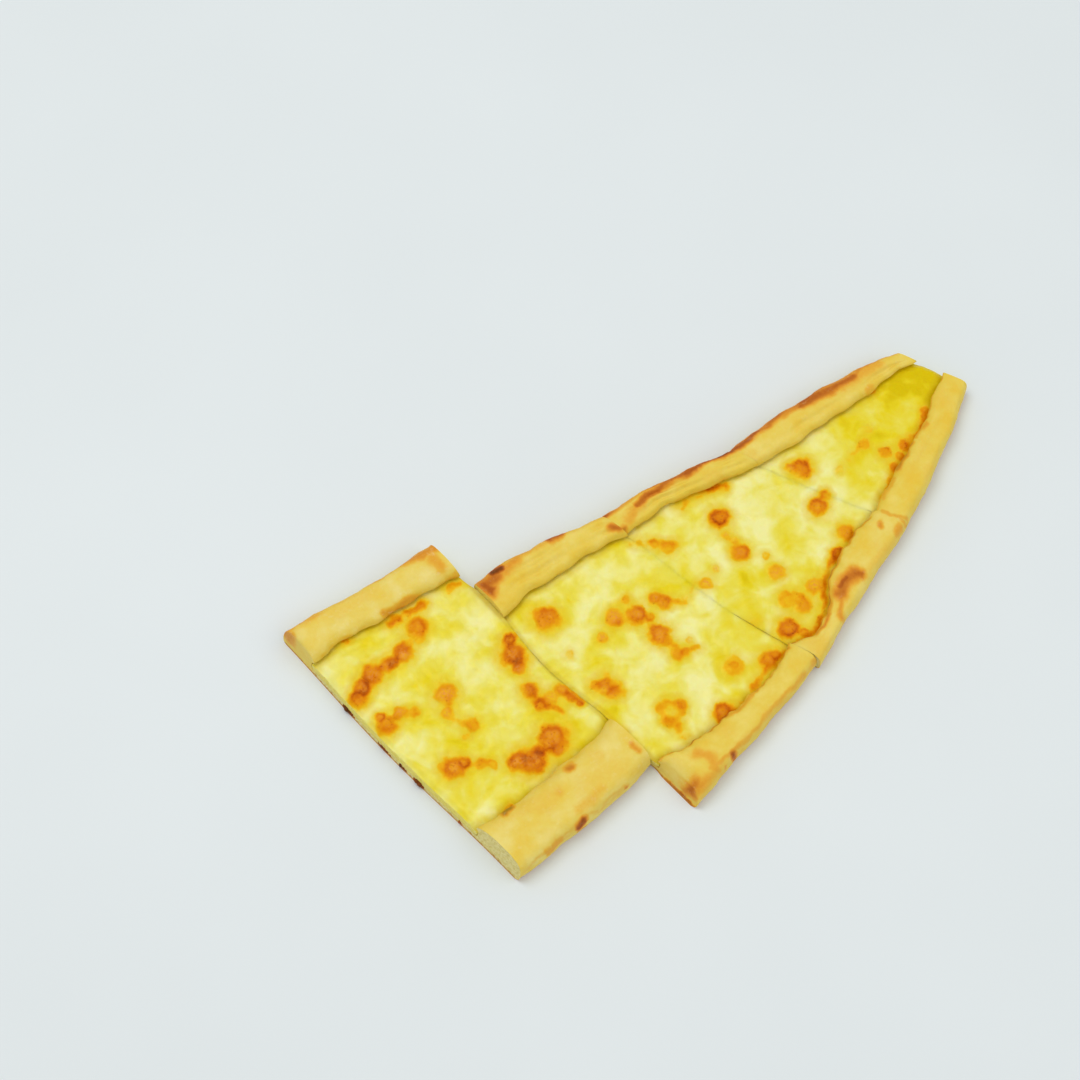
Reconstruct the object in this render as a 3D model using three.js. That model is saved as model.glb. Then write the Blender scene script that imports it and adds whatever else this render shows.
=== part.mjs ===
// Turkish pide with melted cheese: one half of a long boat-shaped pide, cut crosswise into four
// slices that lie in a row. Each slice is a bed of baked dough with a folded rim along its near
// and far side, and a layer of cheese that runs through it from cut to cut.
// Millimetres, +Z up. +X runs along the row to the narrow end, +Y to its far side. The origin is
// on the table under the middle of the row.
import * as THREE from "three";

// Knife cuts, from the trimmed tip to the broad end: middle of the cut, its length from rim to
// rim, and how far it is turned from straight across the row. The knife wandered, so a cut bows
// towards the broad end: by how much, where (0 near rim, 1 far rim) and over what half width.
const TIP_CUT = { x: 137.9, y: 55.3, width: 32.4, turn: 38.7, bow: 0, at: 0.5, spread: 0.5 };
const UPPER_CUT = { x: 70.7, y: 26.9, width: 77.5, turn: 41.0, bow: 1.0, at: 0.49, spread: 0.5 };
const MIDDLE_CUT = { x: 11.7, y: 6.56, width: 103.7, turn: 29.3, bow: 2.9, at: 0.4, spread: 0.48 };
const LOWER_CUT = { x: -50.9, y: -11.4, width: 124.4, turn: 18.6, bow: 3.8, at: 0.64, spread: 0.3 };
const TORN_CUT = { ...LOWER_CUT, bow: 2.2, at: 0.45 };
const BROAD_CUT = { x: -115.6, y: -25.5, width: 135.0, turn: 18.6, bow: 1.8, at: 0.55, spread: 0.5 };

// The broad slice has slid along its cut and come apart a little.
const SLID_BACK = 24.0;
const SLID_APART = 1.9;

// The broad end was cut at a slant, so the foot of its face stands out from the top.
const BROAD_SLANT = 2.0;

// Where slice 3's near rim ends free its face slopes: how far its foot stands out, the height at
// which it meets the cut, and the share of the cut over which the slope dies out.
const END_FOOT = 1.2;
const END_LEVEL = 2.4;
const END_FULL = 0.14;
const END_GONE = 0.2;

// Width left free by the knife, and the hairline between cheese and dough.
const KNIFE_GAP = 0.5;
const LAYER_GAP = 0.35;

// Rolled dough under the cheese, cheese height where it meets the rims, and its rise inside.
const BASE_THICKNESS = 3.0;
const CHEESE_EDGE = 6.2;
const CHEESE_RISE = 0.9;
const CHEESE_RIPPLE = 0.28;
const BLISTER_RISE = 1.2;

// Folded lip of the rim: height of its nose, how far it hangs over, and the foot below it.
const LIP_TOP = 8.4;
const LIP_UNDER = 7.1;
const LIP_HANG = 1.2;
const WALL_FOOT = 0.6;

// Uneven hand-rolled outline and crest.
const EDGE_WAVE = 0.55;
const CREST_WAVE = 0.5;
const LIP_WAVE = 0.8;

const DOUGH_STATIONS = 17;
const CHEESE_STATIONS = 25;
const CHEESE_SPACING = 2.9;
const BED_STEPS = 6;

// Outer side and crest of a rim: share of its width in from the outline, share of its height.
const RIM_OUTSIDE = [
  [0.11, 0.0],
  [0.03, 0.09],
  [0.0, 0.28],
  [0.01, 0.53],
  [0.05, 0.76],
  [0.14, 0.92],
  [0.28, 0.99],
  [0.45, 1.0],
];

// Slope from the crest to the lip: share of the width, share of the drop.
const RIM_INSIDE = [
  [0.62, 0.06],
  [0.77, 0.2],
  [0.89, 0.44],
  [0.965, 0.76],
];

// Slices from the tip to the broad end. Rim widths and heights are given at the narrow cut, half
// way and at the wide cut. A bow is how far a side swells past the straight line between cuts, a
// sway how far its width swings out and back in on the way, and a flare how far it stands out at
// the wide cut. A lobe widens a rim in one place: where, over what half length, and by how much.
const SLICES = [
  {
    name: "slice_1",
    narrow: TIP_CUT,
    wide: UPPER_CUT,
    near: { bow: 1.0, width: [10.5, 12.8, 14.0], height: [9.5, 10.8, 11.5] },
    far: { bow: 4.3, width: [9.0, 16.2, 14.2], height: [9.5, 11.2, 11.8] },
    blisters: [
      [69.2, 38, 4.2],
      [63.2, 41, 3.0],
      [102.2, 30, 3.0],
      [110.2, 28, 2.6],
      [125.2, 39, 2.8],
      [97.2, 37, 2.4],
    ],
  },
  {
    name: "slice_2",
    narrow: UPPER_CUT,
    wide: MIDDLE_CUT,
    near: {
      bow: -0.8,
      sway: 3.6,
      flare: 1.6,
      lobes: [[0.53, 0.13, 4.2], [0.87, 0.08, -2.4]],
      width: [14.6, 11.0, 13.6],
      height: [12.3, 11.0, 11.5],
    },
    far: { bow: 2.4, width: [14.4, 12.2, 12.2], height: [11.8, 12.0, 11.5] },
    blisters: [
      [29.2, 33, 3.8],
      [29.2, 15, 3.6],
      [39.2, 1, 3.2],
      [67.2, 20, 3.8],
      [72.2, 6, 3.4],
      [64.2, -2, 3.0],
      [42.2, -15, 3.4],
      [48.2, -11, 3.0],
      [31.2, -22, 4.2],
    ],
  },
  {
    name: "slice_3",
    narrow: MIDDLE_CUT,
    wide: LOWER_CUT,
    endFoot: END_FOOT,
    near: { bow: -0.2, width: [12.2, 12.4, 22.0], height: [11.5, 11.5, 13.0] },
    far: { bow: 3.0, width: [13.0, 15.8, 19.0], height: [11.5, 11.5, 12.0] },
    blisters: [
      [-52.8, 23, 5.0],
      [-27.8, 12, 3.6],
      [-18.8, 9, 4.0],
      [-13.8, -3, 5.0],
      [-34.8, 6, 3.0],
      [10.2, 9, 3.2],
      [-42.8, -15, 3.6],
      [-23.8, -33, 4.2],
      [-7.8, -40, 3.6],
      [20.2, -29, 3.8],
      [6.2, -27, 3.4],
    ],
  },
  {
    name: "slice_4",
    narrow: TORN_CUT,
    wide: BROAD_CUT,
    slant: BROAD_SLANT,
    slid: true,
    near: { bow: 1.3, width: [22.8, 22.8, 23.8], height: [13.6, 13.2, 12.8] },
    far: { bow: -1.0, width: [17.5, 15.5, 18.0], height: [12.8, 12.0, 12.5] },
    blisters: [
      [-98.8, 40, 3.4],
      [-107.8, 32, 3.4],
      [-122.8, 30, 4.6],
      [-131.8, 23, 3.4],
      [-127.8, 8, 3.4],
      [-99.8, 11, 3.8],
      [-108.8, -18, 4.6],
      [-83.8, -28, 5.6],
      [-71.8, -23, 4.6],
      [-66.8, -7, 3.4],
      [-70.8, 12, 4.6],
    ],
  },
];

const doughMaterial = new THREE.MeshStandardMaterial({
  color: 0xe3cb6d,
  roughness: 0.85,
  metalness: 0.0,
});
const cheeseMaterial = new THREE.MeshStandardMaterial({
  color: 0xe9d84b,
  roughness: 0.45,
  metalness: 0.0,
});

// Point at one end of a cut: side is +1 for the near rim and -1 for the far rim.
function cutEnd(cut, side) {
  const turn = THREE.MathUtils.degToRad(cut.turn);
  const reach = (side * cut.width) / 2;
  return new THREE.Vector2(cut.x + reach * Math.sin(turn), cut.y - reach * Math.cos(turn));
}

// Where a slid slice has moved to from its place in the whole pide.
function slideOffset(slice) {
  if (!slice.slid) {
    return new THREE.Vector2(0, 0);
  }
  const turn = THREE.MathUtils.degToRad(slice.narrow.turn);
  const along = new THREE.Vector2(-Math.sin(turn), Math.cos(turn)).multiplyScalar(SLID_BACK);
  const apart = new THREE.Vector2(-Math.cos(turn), -Math.sin(turn)).multiplyScalar(SLID_APART);
  return along.add(apart);
}

// Smooth curve through three values given at 0, 1/2 and 1.
function through(values, t) {
  const [start, middle, end] = values;
  const atStart = start * (1 - t) * (1 - 2 * t);
  const atMiddle = middle * 4 * t * (1 - t);
  const atEnd = end * t * (2 * t - 1);
  return atStart + atMiddle + atEnd;
}

// Slow irregular wave between about -1 and 1.
function wave(distance, phase) {
  const slow = 0.6 * Math.sin(distance * 0.105 + phase);
  const quick = 0.4 * Math.sin(distance * 0.29 + 2.7 * phase);
  return slow + quick;
}

// Plan direction square to a cut, towards the broad end.
function squareTo(cut) {
  const turn = THREE.MathUtils.degToRad(cut.turn);
  return new THREE.Vector2(-Math.cos(turn), -Math.sin(turn));
}

// Share of the way along a cut, from the near rim, beside a point of the whole pide.
function shareAlong(cut, point) {
  const near = cutEnd(cut, 1);
  const along = cutEnd(cut, -1).sub(near);
  return point.clone().sub(near).dot(along) / along.lengthSq();
}

// How far a cut bows out beside a point of the whole pide.
function bowOf(cut, point) {
  const away = Math.min(Math.abs(shareAlong(cut, point) - cut.at) / cut.spread, 1);
  return cut.bow * Math.cos((away * Math.PI) / 2) ** 2;
}

// How far the sloping free end of the near rim stands out from the wide cut at a height.
function endSlope(slice, section, place, z) {
  const share = shareAlong(slice.wide, place);
  const side = 1 - THREE.MathUtils.smoothstep(share, END_FULL, END_GONE);
  return (slice.endFoot ?? 0) * section.t ** 9 * side * (1 - z / END_LEVEL);
}

// Shift of a point near a cut: the bow of the cut, and the slant of its face by height.
function cutShift(slice, section, place, z) {
  const unslid = place.clone().sub(slideOffset(slice));
  const byNarrow = bowOf(slice.narrow, unslid) * (1 - section.t) ** 8;
  const byWide = bowOf(slice.wide, unslid) * section.t ** 8;
  const bySlant = (slice.slant ?? 0) * section.t ** 20 * (1 - z / LIP_TOP);
  const slope = endSlope(slice, section, unslid, z);
  const shift = squareTo(slice.narrow).multiplyScalar(byNarrow);
  return shift.addScaledVector(squareTo(slice.wide), byWide + bySlant + slope);
}

// The upright section of a slice at t, from its near outline (from) to its far outline (to).
function sectionAt(slice, t) {
  const near = cutEnd(slice.narrow, 1).lerp(cutEnd(slice.wide, 1), t);
  const far = cutEnd(slice.narrow, -1).lerp(cutEnd(slice.wide, -1), t);
  const outward = near.clone().sub(far).normalize();
  const swell = 4 * t * (1 - t);
  const nearOut = slice.near.bow * swell + (slice.near.flare ?? 0) * t ** 3;
  const farOut = slice.far.bow * swell;
  near.addScaledVector(outward, nearOut + EDGE_WAVE * wave(near.x, 0.4));
  far.addScaledVector(outward, -farOut - EDGE_WAVE * wave(far.x, 2.1));
  const offset = slideOffset(slice);
  near.add(offset);
  far.add(offset);
  return { from: near, to: far, length: near.distanceTo(far), t };
}

// How much the lobes of a rim widen it at t.
function lobesAt(side, t) {
  let extra = 0;
  for (const [at, half, amount] of side.lobes ?? []) {
    extra += amount * Math.exp(-(((t - at) / half) ** 2));
  }
  return extra;
}

// Width and height of one rim of the section.
function rimAt(side, section, foot, phase) {
  const swing = (side.sway ?? 0) * Math.sin(2 * Math.PI * section.t) + lobesAt(side, section.t);
  const width = through(side.width, section.t) + swing + LIP_WAVE * wave(1.7 * foot.x, phase);
  const height = through(side.height, section.t) + CREST_WAVE * wave(foot.x, phase + 1.3);
  return { width, height };
}

function rimsAt(slice, section) {
  return {
    near: rimAt(slice.near, section, section.from, 0.9),
    far: rimAt(slice.far, section, section.to, 3.2),
  };
}

// One rim from its underside over the crest to the bed, measured inward from the outline.
function rimProfile(rim) {
  const outside = RIM_OUTSIDE.map(([share, rise]) => [share * rim.width, rise * rim.height]);
  const drop = rim.height - LIP_TOP;
  const inside = RIM_INSIDE.map(([share, fall]) => [share * rim.width, rim.height - fall * drop]);
  const lip = [
    [rim.width, LIP_TOP - 0.35],
    [rim.width - 0.35, LIP_UNDER + 0.1],
    [rim.width - LIP_HANG, LIP_UNDER - 0.5],
    [rim.width - LIP_HANG, BASE_THICKNESS + 0.8],
    [rim.width - WALL_FOOT, BASE_THICKNESS],
  ];
  return [...outside, ...inside, ...lip];
}

// Points between two ends of a level line, without the ends.
function between(start, end, z) {
  const steps = Array.from({ length: BED_STEPS - 1 }, (_, i) => (i + 1) / BED_STEPS);
  return steps.map((share) => [THREE.MathUtils.lerp(start, end, share), z]);
}

// Closed dough section: up and over the far rim, across the bed, over the near, along the table.
function doughProfile(slice, section) {
  const rims = rimsAt(slice, section);
  const far = rimProfile(rims.far).map(([inward, z]) => [section.length - inward, z]);
  const near = rimProfile(rims.near).reverse();
  const bed = between(far.at(-1)[0], near[0][0], BASE_THICKNESS);
  const table = between(near.at(-1)[0], far[0][0], 0);
  return [...far, ...bed, ...near, ...table];
}

// Rounded dome of a browned bubble at a point of the cheese.
function blisterRise(slice, x, y) {
  let rise = 0;
  for (const [centreX, centreY, radius] of slice.blisters) {
    const distance = Math.hypot(x - centreX, y - centreY) / radius;
    if (distance < 1) {
      const dome = (1 - distance * distance) ** 1.5;
      rise = Math.max(rise, BLISTER_RISE * (0.55 + radius * 0.1) * dome);
    }
  }
  return rise;
}

// Height of the melted cheese, flat against the rims and lively between them.
function cheeseHeight(slice, x, y, fromRim) {
  const inside = THREE.MathUtils.smoothstep(fromRim, 0.3, 6.5);
  const ripple = CHEESE_RIPPLE * (wave(3.1 * x + 1.4 * y, 0.7) + wave(3.6 * y - 1.1 * x, 2.9));
  return CHEESE_EDGE + inside * (CHEESE_RISE + ripple + blisterRise(slice, x, y));
}

// Point of the section at a distance from its near outline.
function planPoint(section, distance) {
  return section.from.clone().lerp(section.to, distance / section.length);
}

// Closed cheese section, clear of the dough under it and beside it.
function cheeseProfile(slice, section, count) {
  const rims = rimsAt(slice, section);
  const clear = LIP_HANG - LAYER_GAP;
  const start = rims.near.width - clear;
  const end = section.length - rims.far.width + clear;
  const bottom = BASE_THICKNESS + LAYER_GAP;
  const foot = clear - WALL_FOOT + LAYER_GAP + 0.15;
  const profile = [
    [start + foot, bottom],
    ...between(start + foot, end - foot, bottom),
    [end - foot, bottom],
    [end, bottom + 0.9],
    [end, CHEESE_EDGE - 0.4],
  ];
  for (let i = count - 1; i >= 0; i -= 1) {
    const across = THREE.MathUtils.lerp(start + 0.5, end - 0.5, i / (count - 1));
    const place = planPoint(section, across);
    const fromRim = Math.min(across - start, end - across) - 0.5;
    profile.push([across, cheeseHeight(slice, place.x, place.y, fromRim)]);
  }
  profile.push([start, CHEESE_EDGE - 0.4], [start, bottom + 0.9]);
  return profile;
}

// Sections of a slice between its two cut faces, each half a knife gap clear of the cut.
function sectionsOf(slice, count) {
  const length = Math.hypot(slice.narrow.x - slice.wide.x, slice.narrow.y - slice.wide.y);
  const trim = KNIFE_GAP / 2 / length;
  const sections = [];
  for (let i = 0; i < count; i += 1) {
    const t = THREE.MathUtils.lerp(trim, 1 - trim, i / (count - 1));
    sections.push(sectionAt(slice, t));
  }
  return sections;
}

// Triangles of a dough section, all turned the same way.
function profileTriangles(profile) {
  const outline = profile.map(([across, z]) => new THREE.Vector2(across, z));
  return THREE.ShapeUtils.triangulateShape(outline, []).map(([a, b, c]) => {
    const turned = THREE.ShapeUtils.area([outline[a], outline[b], outline[c]]) < 0;
    return turned ? [a, c, b] : [a, b, c];
  });
}

// Triangles of a cheese section, joined across from the underside to the nearest of the top.
function layerTriangles(profile) {
  const order = [...profile.keys()];
  const under = [order.at(-1), ...order.slice(0, BED_STEPS + 2)];
  const over = order.slice(BED_STEPS + 2, -1).reverse();
  const across = (index) => (index === undefined ? Infinity : profile[index][0]);
  const triangles = [];
  let [low, high] = [0, 0];
  while (low + high < under.length + over.length - 2) {
    if (across(under[low + 1]) < across(over[high + 1])) {
      triangles.push([under[low], under[low + 1], over[high]]);
      low += 1;
    } else {
      triangles.push([under[low], over[high + 1], over[high]]);
      high += 1;
    }
  }
  return triangles;
}

// Closed body through a row of profiles, with a cut face at each end.
function loft(slice, sections, profiles, trianglesOf) {
  const size = profiles[0].length;
  const last = (sections.length - 1) * size;
  const positions = [];
  sections.forEach((section, row) => {
    for (const [across, z] of profiles[row]) {
      const place = planPoint(section, across);
      place.add(cutShift(slice, section, place, z));
      positions.push(place.x, place.y, z);
    }
  });
  const index = [];
  for (let row = 0; row < sections.length - 1; row += 1) {
    for (let i = 0; i < size; i += 1) {
      const a = row * size + i;
      const b = row * size + ((i + 1) % size);
      index.push(a, a + size, b + size, a, b + size, b);
    }
  }
  for (const [a, b, c] of trianglesOf(profiles[0])) {
    index.push(a, b, c);
  }
  for (const [a, b, c] of trianglesOf(profiles[sections.length - 1])) {
    index.push(last + a, last + c, last + b);
  }
  const geometry = new THREE.BufferGeometry();
  geometry.setAttribute("position", new THREE.Float32BufferAttribute(positions, 3));
  geometry.setIndex(index);
  geometry.computeVertexNormals();
  return geometry;
}

function doughOf(slice) {
  const sections = sectionsOf(slice, DOUGH_STATIONS);
  const profiles = sections.map((section) => doughProfile(slice, section));
  const body = loft(slice, sections, profiles, profileTriangles);
  const mesh = new THREE.Mesh(body, doughMaterial);
  mesh.name = `${slice.name}_dough`;
  return mesh;
}

function cheeseOf(slice) {
  const sections = sectionsOf(slice, CHEESE_STATIONS);
  const middle = sections[Math.floor(CHEESE_STATIONS / 2)];
  const rims = rimsAt(slice, middle);
  const open = middle.length - rims.near.width - rims.far.width;
  const count = Math.round(open / CHEESE_SPACING) + 2;
  const profiles = sections.map((section) => cheeseProfile(slice, section, count));
  const body = loft(slice, sections, profiles, layerTriangles);
  const mesh = new THREE.Mesh(body, cheeseMaterial);
  mesh.name = `${slice.name}_cheese`;
  return mesh;
}

const pide = new THREE.Group();
pide.name = "turkish_pide";
for (const slice of SLICES) {
  pide.add(doughOf(slice));
  pide.add(cheeseOf(slice));
}

export default pide;
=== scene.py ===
# %% [markdown]
# # Half a cheese pide, cut in four slices
# A pide is a long boat of bread dough. The baker rolls it thin, scatters grated cheese down the
# middle, folds both long sides over into rims and bakes it hot. This half has been cut crosswise
# into four slices: the narrow one at the tip, two in the middle, and the broad one, which has
# slid back along its cut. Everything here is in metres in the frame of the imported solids, and
# the sizes below are given in millimetres, the way a baker would measure them.

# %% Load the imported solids
import math

import bpy
import numpy as np
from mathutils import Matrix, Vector, noise
from mathutils.geometry import delaunay_2d_cdt


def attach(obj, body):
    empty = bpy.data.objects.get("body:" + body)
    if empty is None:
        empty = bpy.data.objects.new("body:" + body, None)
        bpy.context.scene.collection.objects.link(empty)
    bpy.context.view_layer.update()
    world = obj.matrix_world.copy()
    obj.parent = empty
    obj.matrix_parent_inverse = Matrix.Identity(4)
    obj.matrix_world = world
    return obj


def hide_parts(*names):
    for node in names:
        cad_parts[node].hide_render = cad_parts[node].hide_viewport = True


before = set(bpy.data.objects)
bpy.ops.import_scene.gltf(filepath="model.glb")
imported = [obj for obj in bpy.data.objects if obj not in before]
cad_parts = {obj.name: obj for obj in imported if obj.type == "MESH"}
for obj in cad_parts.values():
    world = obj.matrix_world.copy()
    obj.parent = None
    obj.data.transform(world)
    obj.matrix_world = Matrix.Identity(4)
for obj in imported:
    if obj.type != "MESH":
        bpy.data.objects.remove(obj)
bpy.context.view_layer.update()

MM = 0.001

# %% [markdown]
# ## The camera
# Food on a table is looked at from above and from the near side. The camera stands one metre
# away, about three quarters of the way up to straight overhead, with a long lens so that the
# rims stay parallel. It is made first, so that every later step can be judged through it. The
# two helpers that put it in its place will do the same for the lamps at the end.

# %% Camera
CAMERA_AT = (-205.3, -302.0, 918.4)
CAMERA_AIM = (-38.2, 56.5, 0.0)
LENS = 83.33
SENSOR = 36.0
NEAREST_SEEN = 50


def into_scene(name, data):
    """Puts a mesh, a lamp or a camera into the scene under a name."""
    holder = bpy.data.objects.new(name, data)
    bpy.context.scene.collection.objects.link(holder)
    return holder


def stand(name, data, place, aim):
    """Stands a camera or a lamp at a place in millimetres, turned towards another place."""
    holder = into_scene(name, data)
    holder.location = Vector(place) * MM
    holder.rotation_euler = (Vector(aim) - Vector(place)).to_track_quat("-Z", "Y").to_euler()
    return holder


camera = stand("camera", bpy.data.cameras.new("camera"), CAMERA_AT, CAMERA_AIM)
camera.data.lens = LENS
camera.data.sensor_width = SENSOR
camera.data.clip_start = NEAREST_SEEN * MM
bpy.context.scene.camera = camera
print("camera distance mm", round((Vector(CAMERA_AIM) - Vector(CAMERA_AT)).length))

# %% [markdown]
# ## Where the knife went
# Each cut runs nearly straight across the boat. It is stored as its middle, its length from rim
# to rim and its turn. A slice is what lies between two cuts, so four slices need five cuts, and
# neighbours share one. The knife wandered a little: `bow` says how far a cut swells towards the
# broad end, `at` where along it, and `spread` over what half width.
#
# The broad slice has slid back along its cut and a little away from it, and the foot of its
# outer cut stands out by `BROAD_SLANT`. The slide has bared the near end of slice 3, which the
# knife squeezed down: its foot stands out by `END_FOOT`, at `END_LEVEL` above the table it is
# plumb, and above that it leans back, the higher the faster, as `END_STEEP` says. Dough and
# cheese keep a hair's gap of `LAYER_GAP`, and every rim's inner lip ends at `LIP_TOP`.

# %% Knife cuts
TIP_CUT = dict(x=137.9, y=55.3, width=32.4, turn=38.7, bow=0.0, at=0.5, spread=0.5)
UPPER_CUT = dict(x=70.7, y=26.9, width=77.5, turn=41.0, bow=1.0, at=0.49, spread=0.5)
MIDDLE_CUT = dict(x=11.7, y=6.56, width=103.7, turn=29.3, bow=2.9, at=0.4, spread=0.48)
LOWER_CUT = dict(x=-50.9, y=-11.4, width=124.4, turn=18.6, bow=3.8, at=0.64, spread=0.3)
TORN_CUT = dict(LOWER_CUT, bow=2.2, at=0.45)
BROAD_CUT = dict(x=-115.6, y=-25.5, width=135.0, turn=18.6, bow=1.8, at=0.55, spread=0.5)

SLID_BACK = 24.0
SLID_APART = 1.9
BROAD_SLANT = 2.0
END_FOOT = 1.2
END_LEVEL = 2.4
END_STEEP = 0.36
KNIFE_GAP = 0.5
LAYER_GAP = 0.14
LIP_TOP = 8.4


def cut_end(cut, side):
    """Plan point where a cut leaves the bread: side 1 is the near rim, -1 the far rim."""
    turn = math.radians(cut["turn"])
    reach = side * cut["width"] / 2
    return np.array([cut["x"] + reach * math.sin(turn), cut["y"] - reach * math.cos(turn)])


def square_to(cut):
    """Plan direction square to a cut, towards the broad end."""
    turn = math.radians(cut["turn"])
    return np.array([-math.cos(turn), -math.sin(turn)])


def share_along(cut, plan):
    """How far along a cut each plan point lies, 0 at the near rim and 1 at the far rim."""
    near = cut_end(cut, 1)
    along = cut_end(cut, -1) - near
    return (plan - near) @ along / (along @ along)


def bow_of(cut, plan):
    """How far a cut bows out beside each plan point."""
    away = np.clip(np.abs(share_along(cut, plan) - cut["at"]) / cut["spread"], 0, 1)
    return cut["bow"] * np.cos(away * math.pi / 2) ** 2


print("near end of the middle cut", cut_end(MIDDLE_CUT, 1).round(1))

# %% [markdown]
# ## The four slices
# A folded rim is never even: it is measured at the narrow cut, half way and at the wide cut, and
# a smooth curve runs through the three values. `bow` says how far a side swells past the
# straight line between its two cuts, `sway` how its width swings on the way, `lobes` where it
# grows or thins on its own, and `flare` how far it stands out at the wide cut. `rounded` is how
# strongly the crest drops at its two ends, where the knife pressed soft dough down. The oven gave
# each rim its own look: `toast` is how dark the outer edge went, also at the three places,
# `fold` how deep the grooves are where the flap was folded, `creases` where they run as shares
# of the width, `crisp` how ragged the lip went and `pale` how much flour it kept.
#
# Three looks belong to a wide cut. `baked_over` is the stretch that a crust has closed: where
# it starts along the cut, where it is full, and how full. Beyond `smeared_from` the knife has
# smeared the crumb over, and `painted_light_end` is how much painted light lies on the free end,
# drawn as pale floury straw, since its steep face gets little light from the lamps.

# %% Rims of the slices
SLICES = [
    dict(
        name="slice_1", narrow=TIP_CUT, wide=UPPER_CUT,
        near=dict(bow=1.0, width=(10.5, 12.8, 14.0), height=(9.5, 10.8, 11.5),
                  toast=(0.1, 0.1, 0.2), fold=0.5, crisp=0.5, pale=0.2, rounded=(0.0, 1.0)),
        far=dict(bow=4.3, width=(9.0, 16.2, 14.2), height=(9.5, 11.2, 11.8),
                 toast=(0.3, 0.8, 0.7), fold=1.1, creases=(0.72,), crisp=0.1, pale=0.4),
    ),
    dict(
        name="slice_2", narrow=UPPER_CUT, wide=MIDDLE_CUT,
        near=dict(bow=-0.8, sway=3.6, flare=1.6, lobes=((0.53, 0.13, 4.2), (0.87, 0.08, -2.4)),
                  width=(14.6, 11.0, 13.6), height=(12.3, 11.0, 11.5), toast=(0.3, 0.25, 0.1),
                  fold=0.2, crisp=1.0, pale=0.45, rounded=(2.0, 0.0)),
        far=dict(bow=2.4, width=(14.4, 12.2, 12.2), height=(11.8, 12.0, 11.5),
                 toast=(0.9, 0.6, 0.8), fold=1.3, creases=(0.45, 0.74), crisp=0.2, pale=0.15),
    ),
    dict(
        name="slice_3", narrow=MIDDLE_CUT, wide=LOWER_CUT, end_foot=END_FOOT,
        # painted_light_end paints the steep free end paler, as painted light.
        baked_over=(0.2, 0.18, 1.0), smeared_from=0.5, painted_light_end=0.8,
        near=dict(bow=-0.2, width=(12.2, 12.4, 22.0), height=(11.5, 11.5, 13.0), rounded=(0.0, 5.0),
                  toast=(0.1, 0.2, 0.45), fold=0.1, crisp=0.8, pale=0.2),
        far=dict(bow=3.0, width=(13.0, 15.8, 19.0), height=(11.5, 11.5, 12.0),
                 toast=(0.6, 0.4, 0.8), fold=1.4, creases=(0.4, 0.7), crisp=0.1, pale=0.35),
    ),
    dict(
        name="slice_4", narrow=TORN_CUT, wide=BROAD_CUT, slid=True, slant=BROAD_SLANT,
        baked_over=(0.84, 0.88, 0.85),
        near=dict(bow=1.3, width=(22.8, 22.8, 23.8), height=(13.6, 13.2, 12.8),
                  toast=(0.1, 0.05, 0.05), fold=0.0, crisp=0.1, pale=0.65),
        far=dict(bow=-1.0, width=(17.5, 15.5, 18.0), height=(12.8, 12.0, 12.5),
                 toast=(0.6, 0.3, 0.7), fold=0.2, crisp=0.2, pale=0.85, rounded=(0.0, 2.4)),
    ),
]
SLOW_TURN = 0.105
QUICK_TURN = 0.29


def through(values, t):
    """Smooth curve through three values given at 0, 1/2 and 1."""
    start, middle, end = values
    return start * (1 - t) * (1 - 2 * t) + middle * 4 * t * (1 - t) + end * t * (2 * t - 1)


def wave(distance, phase):
    """Slow irregular wave, the unevenness of a hand-rolled edge."""
    slow = np.sin(distance * SLOW_TURN + phase)
    quick = np.sin(distance * QUICK_TURN + 2.7 * phase)
    return 0.6 * slow + 0.4 * quick


def slide_offset(piece):
    """Where a slid slice has moved to from its place in the whole pide."""
    if not piece.get("slid"):
        return np.zeros(2)
    turn = math.radians(piece["narrow"]["turn"])
    along = np.array([-math.sin(turn), math.cos(turn)])
    return SLID_BACK * along + SLID_APART * square_to(piece["narrow"])


print("rim widths half way", [through(s["near"]["width"], 0.5) for s in SLICES])

# %% [markdown]
# ## Upright sections through a slice
# The slice is swept from cut to cut. At every station an upright section stands on a line from
# the near outline to the far one. All stations are worked out at once as arrays, which is far
# quicker than a loop over points and lets the mesh be fine enough for real relief. The bow and
# the slope of a cut are strongest at the cut and fade out inside the slice. A high power of the
# share `t` of the way does that without a seam.

# %% Sections
EDGE_WAVE = 0.55
CREST_WAVE = 0.5
LIP_WAVE = 0.8
TATTER = 0.5
RIM_PHASE = {"near": 0.9, "far": 3.2}
END_ROUND = 7.0
NEARLY_PLUMB = 0.96
BOW_FADE, SLOPE_FADE, SLANT_FADE = 8, 9, 20
LEAN_CURVE = 1.7
BARED_TO, BARED_FULL = 0.2, 0.14


def ease(value, low, high):
    """0 below low, 1 above high, smooth between. Low may be the larger one."""
    t = np.clip((value - low) / (high - low), 0.0, 1.0)
    return t * t * (3 - 2 * t)


def slice_length(piece):
    narrow, wide = piece["narrow"], piece["wide"]
    return math.hypot(narrow["x"] - wide["x"], narrow["y"] - wide["y"])


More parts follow.
